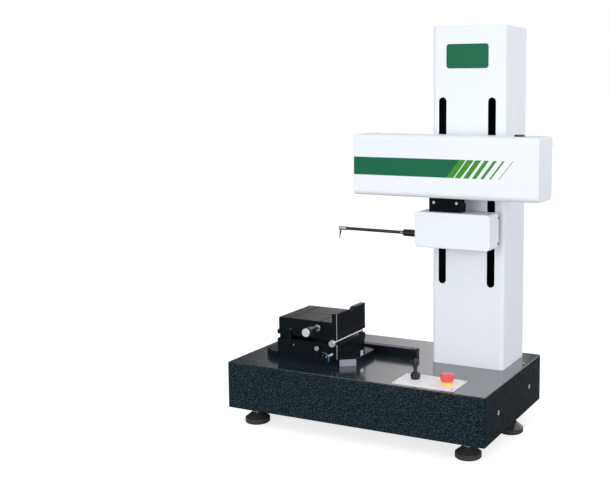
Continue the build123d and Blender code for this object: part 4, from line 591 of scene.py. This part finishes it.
def facing(axis, place):
    """Turns the local z axis to the given axis and moves the origin to the place, in millimetres."""
    return Matrix.Translation(Vector(place)) @ Vector(axis).to_track_quat("Z", "Y").to_matrix().to_4x4()


def make_mesh(name, shape, matrix, finish):
    """A mesh in metres from points and faces in millimetres, with all its faces turned outward."""
    points, faces = shape
    mesh = bpy.data.meshes.new(name)
    mesh.from_pydata([(matrix @ Vector(point)) / 1000 for point in points], [], faces)
    shaped = bmesh.new()
    shaped.from_mesh(mesh)
    bmesh.ops.remove_doubles(shaped, verts=shaped.verts, dist=weld_distance)
    bmesh.ops.recalc_face_normals(shaped, faces=shaped.faces)
    shaped.to_mesh(mesh)
    shaped.free()
    mesh.materials.append(finish.material)
    return mesh


def make_piece(name, body, mesh):
    """An object at the origin that shows the mesh and is carried by one body."""
    piece = bpy.data.objects.new(name, mesh)
    bpy.context.collection.objects.link(piece)
    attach(piece, body)
    return piece


def solid(name, body, slot, shape, matrix=Matrix.Identity(4), finish=None):
    """A piece of one shape, in the finish of its slot or in one of its own."""
    return make_piece(name, body, make_mesh(name, shape, matrix, finish or finishes[slot]))


REPEAT_INPUTS = (
    ("Round", "NodeSocketInt"), ("Rows", "NodeSocketInt"), ("Arc", "NodeSocketFloat"),
    ("Row step", "NodeSocketFloat"), ("Row turn", "NodeSocketFloat"), ("Finish", "NodeSocketMaterial"),
)


def make_repeat_group():
    """A node group that repeats its mesh round the local z axis, in rows along it."""
    group = bpy.data.node_groups.new("repeat", "GeometryNodeTree")
    group.interface.new_socket("Geometry", in_out="INPUT", socket_type="NodeSocketGeometry")
    for name, kind in REPEAT_INPUTS:
        group.interface.new_socket(name, in_out="INPUT", socket_type=kind)
    group.interface.new_socket("Geometry", in_out="OUTPUT", socket_type="NodeSocketGeometry")
    given = group.nodes.new("NodeGroupInput").outputs
    result = group.nodes.new("NodeGroupOutput")

    def maths(operation, *outputs):
        made = group.nodes.new("ShaderNodeMath")
        made.operation = operation
        for socket, output in zip(made.inputs, outputs):
            group.links.new(output, socket)
        return made.outputs[0]

    index = group.nodes.new("GeometryNodeInputIndex").outputs[0]
    row = maths("FLOOR", maths("DIVIDE", index, given["Round"]))
    column = maths("MODULO", index, given["Round"])
    step = maths("DIVIDE", given["Arc"], given["Round"])
    angle = maths("ADD", maths("MULTIPLY", column, step), maths("MULTIPLY", row, given["Row turn"]))
    turn = group.nodes.new("ShaderNodeCombineXYZ")
    shift = group.nodes.new("ShaderNodeCombineXYZ")
    line = group.nodes.new("GeometryNodeMeshLine")
    line.inputs["Offset"].default_value = (0, 0, 0)
    copies = group.nodes.new("GeometryNodeInstanceOnPoints")
    moved = group.nodes.new("GeometryNodeTranslateInstances")
    moved.inputs["Local Space"].default_value = False
    whole = group.nodes.new("GeometryNodeRealizeInstances")
    finished = group.nodes.new("GeometryNodeSetMaterial")
    for output, target in (
        (maths("MULTIPLY", given["Round"], given["Rows"]), line.inputs["Count"]),
        (angle, turn.inputs["Z"]),
        (maths("MULTIPLY", row, given["Row step"]), shift.inputs["Z"]),
        (line.outputs["Mesh"], copies.inputs["Points"]),
        (given["Geometry"], copies.inputs["Instance"]),
        (turn.outputs[0], copies.inputs["Rotation"]),
        (copies.outputs["Instances"], moved.inputs["Instances"]),
        (shift.outputs[0], moved.inputs["Translation"]),
        (moved.outputs["Instances"], whole.inputs["Geometry"]),
        (whole.outputs["Geometry"], finished.inputs["Geometry"]),
        (given["Finish"], finished.inputs["Material"]),
        (finished.outputs["Geometry"], result.inputs["Geometry"]),
    ):
        group.links.new(output, target)
    return group


repeat_group = make_repeat_group()


def repeated(name, body, slot, shape, matrix, finish=None, around=1, rows=1, row_step=0.0, row_turn=0.0):
    """A piece made of many copies of one small shape, as one plain mesh."""
    finish = finish or finishes[slot]
    seed = bpy.data.objects.new("seed", make_mesh("seed", shape, Matrix.Identity(4), finish))
    bpy.context.collection.objects.link(seed)
    modifier = seed.modifiers.new("repeat", "NODES")
    modifier.node_group = repeat_group
    items = repeat_group.interface.items_tree
    sockets = {item.name: item.identifier for item in items if item.in_out == "INPUT"}
    values = (around, rows, 2 * pi, row_step / 1000, row_turn, finish.material)
    for (label, _), value in zip(REPEAT_INPUTS, values):
        modifier[sockets[label]] = value
    seed.update_tag()
    bpy.context.view_layer.update()
    shown = seed.evaluated_get(bpy.context.evaluated_depsgraph_get())
    mesh = bpy.data.meshes.new_from_object(shown)
    mesh.name = name
    bpy.data.objects.remove(seed)
    metres = matrix.copy()
    metres.translation = matrix.translation / 1000
    mesh.transform(metres)
    return make_piece(name, body, mesh)


def make_drive_band():
    """The green band on the front of the drive unit, and its slanted stripes from its slanted end on."""
    bottom = drive.bottom + band_from_bottom
    stripes = [[drive.left + end for end in ends] for ends in band_stripes]
    left, end_bottom, end_top = drive.left + band_left_inset, stripes[0][0], stripes[0][2]
    outline = four_sided(left, end_bottom, left, end_top, bottom, bottom + band_height)
    solid("drive_band", "drive_unit", "badge_green", flat_piece(outline, drive.front))
    for number, ends in enumerate(stripes, 1):
        stripe = flat_piece(four_sided(*ends, bottom, bottom + band_height), drive.front)
        solid(f"band_stripe_{number}", "drive_unit", None, stripe, finish=leaf_green)


def badge_outline(margin):
    """The rounded outline of the badge in x and z, with a margin round it."""
    corner = badge_corner + margin
    straight_x, straight_z = badge.half_width - badge_corner, badge.half_height - badge_corner
    outline = []
    for side_x, side_z, start in ((1, 1, 0), (-1, 1, pi / 2), (-1, -1, pi), (1, -1, 3 * pi / 2)):
        for step in range(corner_steps + 1):
            angle = start + pi / 2 * step / corner_steps
            outline.append((badge.middle_x + side_x * straight_x + corner * cos(angle),
                            badge.middle_z + side_z * straight_z + corner * sin(angle)))
    return outline


def make_badge_border():
    """The thin bright border round the badge; its last loop is joined to its first, without caps."""
    inner, outer = badge_outline(0), badge_outline(badge_border_width)
    on_wall, raised = column.front + film_set_in, column.front - film_thickness
    points, faces = loft([[(x, y, z) for x, z in outline] for outline, y in (
        (inner, on_wall), (outer, on_wall), (outer, raised), (inner, raised))])
    count = len(inner)
    ring = faces[2:] + [(3 * count + step, 3 * count + (step + 1) % count, (step + 1) % count, step)
                        for step in range(count)]
    solid("badge_border", "base", None, (points, ring), finish=white_film)


def make_micrometer_marks():
    """Ridges on the grip of the thimble, and graduations round its bevel and along the sleeve."""
    barrel = facing(BACK, (thimble.middle_x, thimble.front, thimble.middle_z))
    ridge = rib(thimble.half_width, width=1.1, height=0.45, start=2.0, end=14.0)
    repeated("thimble_ridges", "thimble", "bright_steel", ridge, barrel, finish=thimble_chrome_painted_light, around=48)
    taper = (thimble.half_width - barrel_neck_radius) / (barrel_length - barrel_grip_end)
    line = printed_line(barrel_neck_radius + taper * barrel_bevel, half_width=0.16,
                        start=barrel_length - barrel_bevel, end=barrel_length - 1.0, taper=taper)
    repeated("thimble_lines", "thimble", None, line, barrel, finish=marking_grey, around=50)
    sleeve = facing(FRONT, (thimble.middle_x, table.front - sleeve_marks_gap, thimble.middle_z))
    line = printed_line(sleeve_radius, half_width=1.6, start=0.0, end=0.22)
    repeated("sleeve_lines", "table_top", None, line, sleeve @ Matrix.Rotation(sleeve_marks_turn, 4, "Z"),
             finish=marking_grey, rows=26, row_step=1.0)


def make_knob_ridges():
    """Straight ridges on two round knobs and on the gland, and a diamond pattern of them on the collar."""
    knob = facing(FRONT, (rod_knob.middle_x, rod_knob.back, rod_knob.middle_z))
    ridge = rib(rod_knob.half_width, width=0.9, height=0.35, start=1.5, end=10.5)
    repeated("rod_knob_ridges", "rod_knob", "bright_steel", ridge, knob, around=44)
    knob = facing(FRONT, (lock_knob.middle_x, lock_knob.front + lock_knob_length, lock_knob.middle_z))
    ridge = rib(lock_knob.half_width, width=0.8, height=0.3, start=1.2, end=14.8)
    repeated("lock_knob_ridges", "lock_knob", "bright_steel", ridge, knob, around=36)
    collar = facing((-cos(collar_drop), 0, sin(collar_drop)), collar_start)
    first_row = collar @ Matrix.Translation((0, 0, collar_ridges_start))
    ridge = rib(collar_radius, width=0.7, height=0.3, start=0.0, end=1.35)
    repeated("collar_ridges", "stylus_arm", "black_oxide", ridge, first_row,
             around=48, rows=13, row_step=1.6, row_turn=pi / 48)
    rim = facing(UP, (gland.middle_x, gland.middle_y, drive.top))
    ridge = rib(gland.half_width, width=1.6, height=0.5, start=0.4, end=2.8)
    repeated("gland_ridges", "drive_unit", "black_plastic", ridge, rim, around=28)


def make_handwheel_marks():
    """A painted blue reflection on part of the rim of the swivel knob, and a bright pin in its upper
    spoke.
    """
    wheel = facing(FRONT, (handwheel.middle_x, handwheel.back, handwheel.middle_z))
    # Painted reflection: a blue arc laid on the rim
    band = arc_film(handwheel.half_width, radians(-35), radians(115), low=1.0, high=6.5, thickness=0.15)
    solid("handwheel_painted_reflection", "swivel_knob", None, band, wheel, finish=blue_painted_reflection)
    place = (handwheel.middle_x + pin_reach * cos(pin_angle), handwheel.back - spoke_thickness,
             handwheel.middle_z + pin_reach * sin(pin_angle))
    pin = loft([round_loop(1.5, -film_set_in), round_loop(1.5, 0.5), round_loop(0.9, 0.9)])
    solid("handwheel_pin", "swivel_knob", "bright_steel", pin, facing(FRONT, place))


def make_table_screws():
    """One small screw in the front of the tilt base and one in the front of the table top."""
    head = screw_head(radius=2.2, height=1.0, socket=2.2, depth=0.7)
    place = (table.left + tilt_base_screw_x, table.front, table.bottom + tilt_base_screw_z)
    solid("tilt_base_screw", "swivel", "bright_steel", head, facing(FRONT, place))
    head = screw_head(radius=3.0, height=1.2, socket=3.0, depth=0.84)
    place = (table.left + table_top_screw_x, table.front, table.bottom + table_top_screw_z)
    solid("table_top_screw", "table_top", "black_oxide", head, facing(FRONT, place))


def make_rear_panel_screws():
    """Two rows of screws that hold the rear panel."""
    head = screw_head(radius=3.2, height=1.4, socket=3.4, depth=1.0)
    backward = Matrix.Rotation(-pi / 2, 4, "X")
    lowest, highest = rear_panel.bottom + rear_screw_inset_z, rear_panel.top - rear_screw_inset_z
    step = (highest - lowest) / (rear_screw_rows - 1)
    for side, x in (("left", rear_panel.left + rear_screw_inset_x),
                    ("right", rear_panel.right - rear_screw_inset_x)):
        for row in range(rear_screw_rows):
            place = Matrix.Translation((x, rear_panel.back, lowest + row * step))
            solid(f"rear_panel_screw_{side}_{row + 1}", "base", "zinc_steel", head, place @ backward)


def make_lid_screws():
    """One screw in each corner of the lid of the drive unit."""
    head = screw_head(radius=2.6, height=0.8, socket=2.6, depth=0.6)
    for side, x in (("left", lid.left + lid_screw_inset), ("right", lid.right - lid_screw_inset)):
        for end, y in (("front", lid.front + lid_screw_inset), ("back", lid.back - lid_screw_inset)):
            place = facing(UP, (x, y, lid.top))
            solid(f"lid_screw_{end}_{side}", "drive_unit", "zinc_steel", head, place)


def make_joystick_screws():
    """Four small screws round the joystick."""
    head = screw_head(radius=2.0, height=0.9, socket=2.0, depth=0.7)
    for end, y in (("front", -joystick_screw_y), ("back", joystick_screw_y)):
        for side, x in (("left", -joystick_screw_x), ("right", joystick_screw_x)):
            place = facing(UP, (joystick.middle_x + x, joystick.middle_y + y, panel.top))
            solid(f"joystick_screw_{end}_{side}", "base", "zinc_steel", head, place)


def make_panel_bars():
    """Two short bars of print on the control panel, in front of the stop button."""
    front, back = stop_button.middle_y + panel_bar_front, stop_button.middle_y + panel_bar_back
    for number, ends in enumerate(panel_bar_ends, 1):
        left, right = (stop_button.middle_x + end for end in ends)
        bar = flat_mark(four_sided(left, right, left, right, front, back), panel.top)
        solid(f"panel_bar_{number}", "base", None, bar, finish=marking_grey)


def make_stop_button():
    """The barrel-shaped head of the stop button, hollow below, over its round yellow collar."""
    middle = facing(UP, (stop_button.middle_x, stop_button.middle_y, base.top))
    hollow = [(0, 25.4), (5.3, 25.4), (5.3, 17.0), (16.4, 17.0), (16.4, 10.3)]
    barrel = [(17.4, 10.3), (17.7, 10.8), (18.6, 16.0), (19.7, 21.0), (20.0, 23.5)]
    crown = [(19.9, 25.5), (19.2, 27.3), (17.9, 28.6), (16.0, 29.4), (13.0, 29.9), (8.0, 30.4),
             (3.0, 30.6), (0, 30.6)]
    piece = solid("stop_button_head", "stop_head", "red_plastic", turned(hollow + barrel + crown), middle)
    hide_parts("estop_head")
    collar = [(7.3, -38), (11, -38), (11, 2.0), (15.9, 2.0), (15.9, 9.2), (15.2, 10.0), (7.3, 10.0)]
    piece = solid("stop_button_collar", "base", "yellow_plastic", turned(collar), middle)
    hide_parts("estop_collar")


def make_joystick_boot():
    """A pleated boot that turns with the lever, over a low fixed ring with a thin white plate round it."""
    middle = facing(UP, (joystick.middle_x, joystick.middle_y, base.top))
    angles = [boot_top_angle + (boot_rim_angle - boot_top_angle) * step / lining_steps
              for step in range(lining_steps + 1)]
    lining = [(boot_inner_radius * sin(angle), joystick_pivot_z + boot_inner_radius * cos(angle))
              for angle in angles]
    pleats = [(12.9, 8.2), (13.8, 9.0), (14.0, 11.0), (13.6, 12.6), (12.5, 13.4), (12.9, 14.2),
              (12.8, 16.0), (11.6, 18.0), (10.2, 19.0), (7.0, 19.2), (6.6, 19.9), (6.9, 20.6),
              (6.2, 21.6), (5.6, 22.0), (5.2, 24.6), (2.6, 24.6)]
    boot = solid("joystick_pleats", "joystick", "black_rubber", turned(lining + pleats), middle)
    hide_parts("joystick_boot")
    ring = [(10.6, 1.9), (12.2, 1.9), (12.2, 6.9), (11.8, 7.5), (10.6, 7.5)]
    low_ring = solid("joystick_ring_low", "base", "black_plastic", turned(ring), middle)
    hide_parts("joystick_bezel")
    plate = [(11.0, 1.8), (17.8, 1.8), (17.8, 2.2), (17.6, 2.35), (11.0, 2.35)]
    solid("joystick_plate", "base", "panel_white", turned(plate), middle)


def make_brass_insert():
    """A small brass insert in the granite beside the column."""
    insert = loft([round_loop(5.5, -0.1), round_loop(5.5, 0.25), round_loop(5.1, 0.4),
                   round_loop(3.0, 0.4), round_loop(2.8, 0.05)])
    place = facing(UP, (base.right - brass_insert_from_right, brass_insert_y, base.top))
    solid("brass_insert", "base", None, insert, place, finish=brass)


def make_world():
    """White behind the part, an even soft light on it, and a studio with dark strips for it to mirror."""
    world = bpy.data.worlds.new("studio")
    bpy.context.scene.world = world
    world.use_nodes = True
    tree = world.node_tree
    seen = tree.nodes["Background"]
    seen.inputs["Color"].default_value = (1, 1, 1, 1)
    seen.inputs["Strength"].default_value = 1.0
    lit = tree.nodes.new("ShaderNodeBackground")
    lit.inputs["Color"].default_value = soft_light_colour
    lit.inputs["Strength"].default_value = soft_light_strength
    mirrored = tree.nodes.new("ShaderNodeBackground")
    mirrored.inputs["Strength"].default_value = mirrored_strength
    first, last = mirror_stops[0][0], mirror_stops[-1][0]
    reach = tree.nodes.new("ShaderNodeMapRange")
    reach.inputs["From Min"].default_value = first
    reach.inputs["From Max"].default_value = last
    strips = tree.nodes.new("ShaderNodeValToRGB")
    for _ in mirror_stops[2:]:
        strips.color_ramp.elements.new(0.5)
    for stop, (direction, share) in zip(strips.color_ramp.elements, mirror_stops):
        stop.position = (direction - first) / (last - first)
        stop.color = (share, mirrored_green * share, share, 1)
    place = tree.nodes.new("ShaderNodeTexCoord")
    split = tree.nodes.new("ShaderNodeSeparateXYZ")
    path = tree.nodes.new("ShaderNodeLightPath")
    either = tree.nodes.new("ShaderNodeMath")
    either.operation = "MAXIMUM"
    with_mirror = tree.nodes.new("ShaderNodeMixShader")
    mixed = tree.nodes.new("ShaderNodeMixShader")
    for output, target in (
        (place.outputs["Generated"], split.inputs[0]),
        (split.outputs["X"], reach.inputs["Value"]),
        (reach.outputs["Result"], strips.inputs["Fac"]),
        (strips.outputs["Color"], mirrored.inputs["Color"]),
        (path.outputs["Is Camera Ray"], either.inputs[0]),
        (path.outputs["Is Transmission Ray"], either.inputs[1]),
        (path.outputs["Is Glossy Ray"], with_mirror.inputs["Fac"]),
        (lit.outputs[0], with_mirror.inputs[1]),
        (mirrored.outputs[0], with_mirror.inputs[2]),
        (either.outputs[0], mixed.inputs["Fac"]),
        (with_mirror.outputs[0], mixed.inputs[1]),
        (seen.outputs[0], mixed.inputs[2]),
        (mixed.outputs[0], tree.nodes["World Output"].inputs["Surface"]),
    ):
        tree.links.new(output, target)


def softbox(name, place, aim, side, power):
    """A square soft lamp at a place, turned to an aim."""
    data = bpy.data.lights.new(name, "AREA")
    data.shape = "RECTANGLE"
    data.size = data.size_y = side
    data.energy = power
    lamp = bpy.data.objects.new(name, data)
    bpy.context.collection.objects.link(lamp)
    lamp.location = place
    lamp.rotation_euler = (Vector(aim) - Vector(place)).to_track_quat("-Z", "Y").to_euler()


def make_floor():
    """A floor under the feet that takes their shadow and looks nearly white to the camera."""
    half = floor_half_side
    mesh = bpy.data.meshes.new("floor")
    corners = [(-half, -half), (half, -half), (half, half), (-half, half)]
    mesh.from_pydata([(x, y, cad_low.z) for x, y in corners], [], [(0, 1, 2, 3)])
    floor = bpy.data.objects.new("floor", mesh)
    bpy.context.collection.objects.link(floor)
    made = Finish("floor_white", (floor_grey,) * 3, roughness=0.9, Specular_IOR_Level=0.1)
    glow = made.node("ShaderNodeEmission", Color=(1, 1, 1, 1), Strength=floor_glow)
    path = made.node("ShaderNodeLightPath")
    dark = made.node("ShaderNodeEmission", Strength=0)
    seen = made.node("ShaderNodeMixShader")
    total = made.node("ShaderNodeAddShader")
    made.link(path.outputs["Is Camera Ray"], seen.inputs["Fac"])
    made.link(dark.outputs[0], seen.inputs[1])
    made.link(glow.outputs[0], seen.inputs[2])
    made.link(made.shader.outputs[0], total.inputs[0])
    made.link(seen.outputs[0], total.inputs[1])
    made.link(total.outputs[0], made.tree.nodes["Material Output"].inputs["Surface"])
    mesh.materials.append(made.material)


make_camera()
make_world()
make_floor()
for lamp in lamps:
    softbox(*lamp)
dress_frame()
make_drive_band()
make_badge_border()
make_micrometer_marks()
make_knob_ridges()
make_handwheel_marks()
make_table_screws()
make_rear_panel_screws()
make_lid_screws()
make_joystick_screws()
make_panel_bars()
make_stop_button()
make_joystick_boot()
make_brass_insert()

bpy.context.scene.view_settings.view_transform = "Standard"
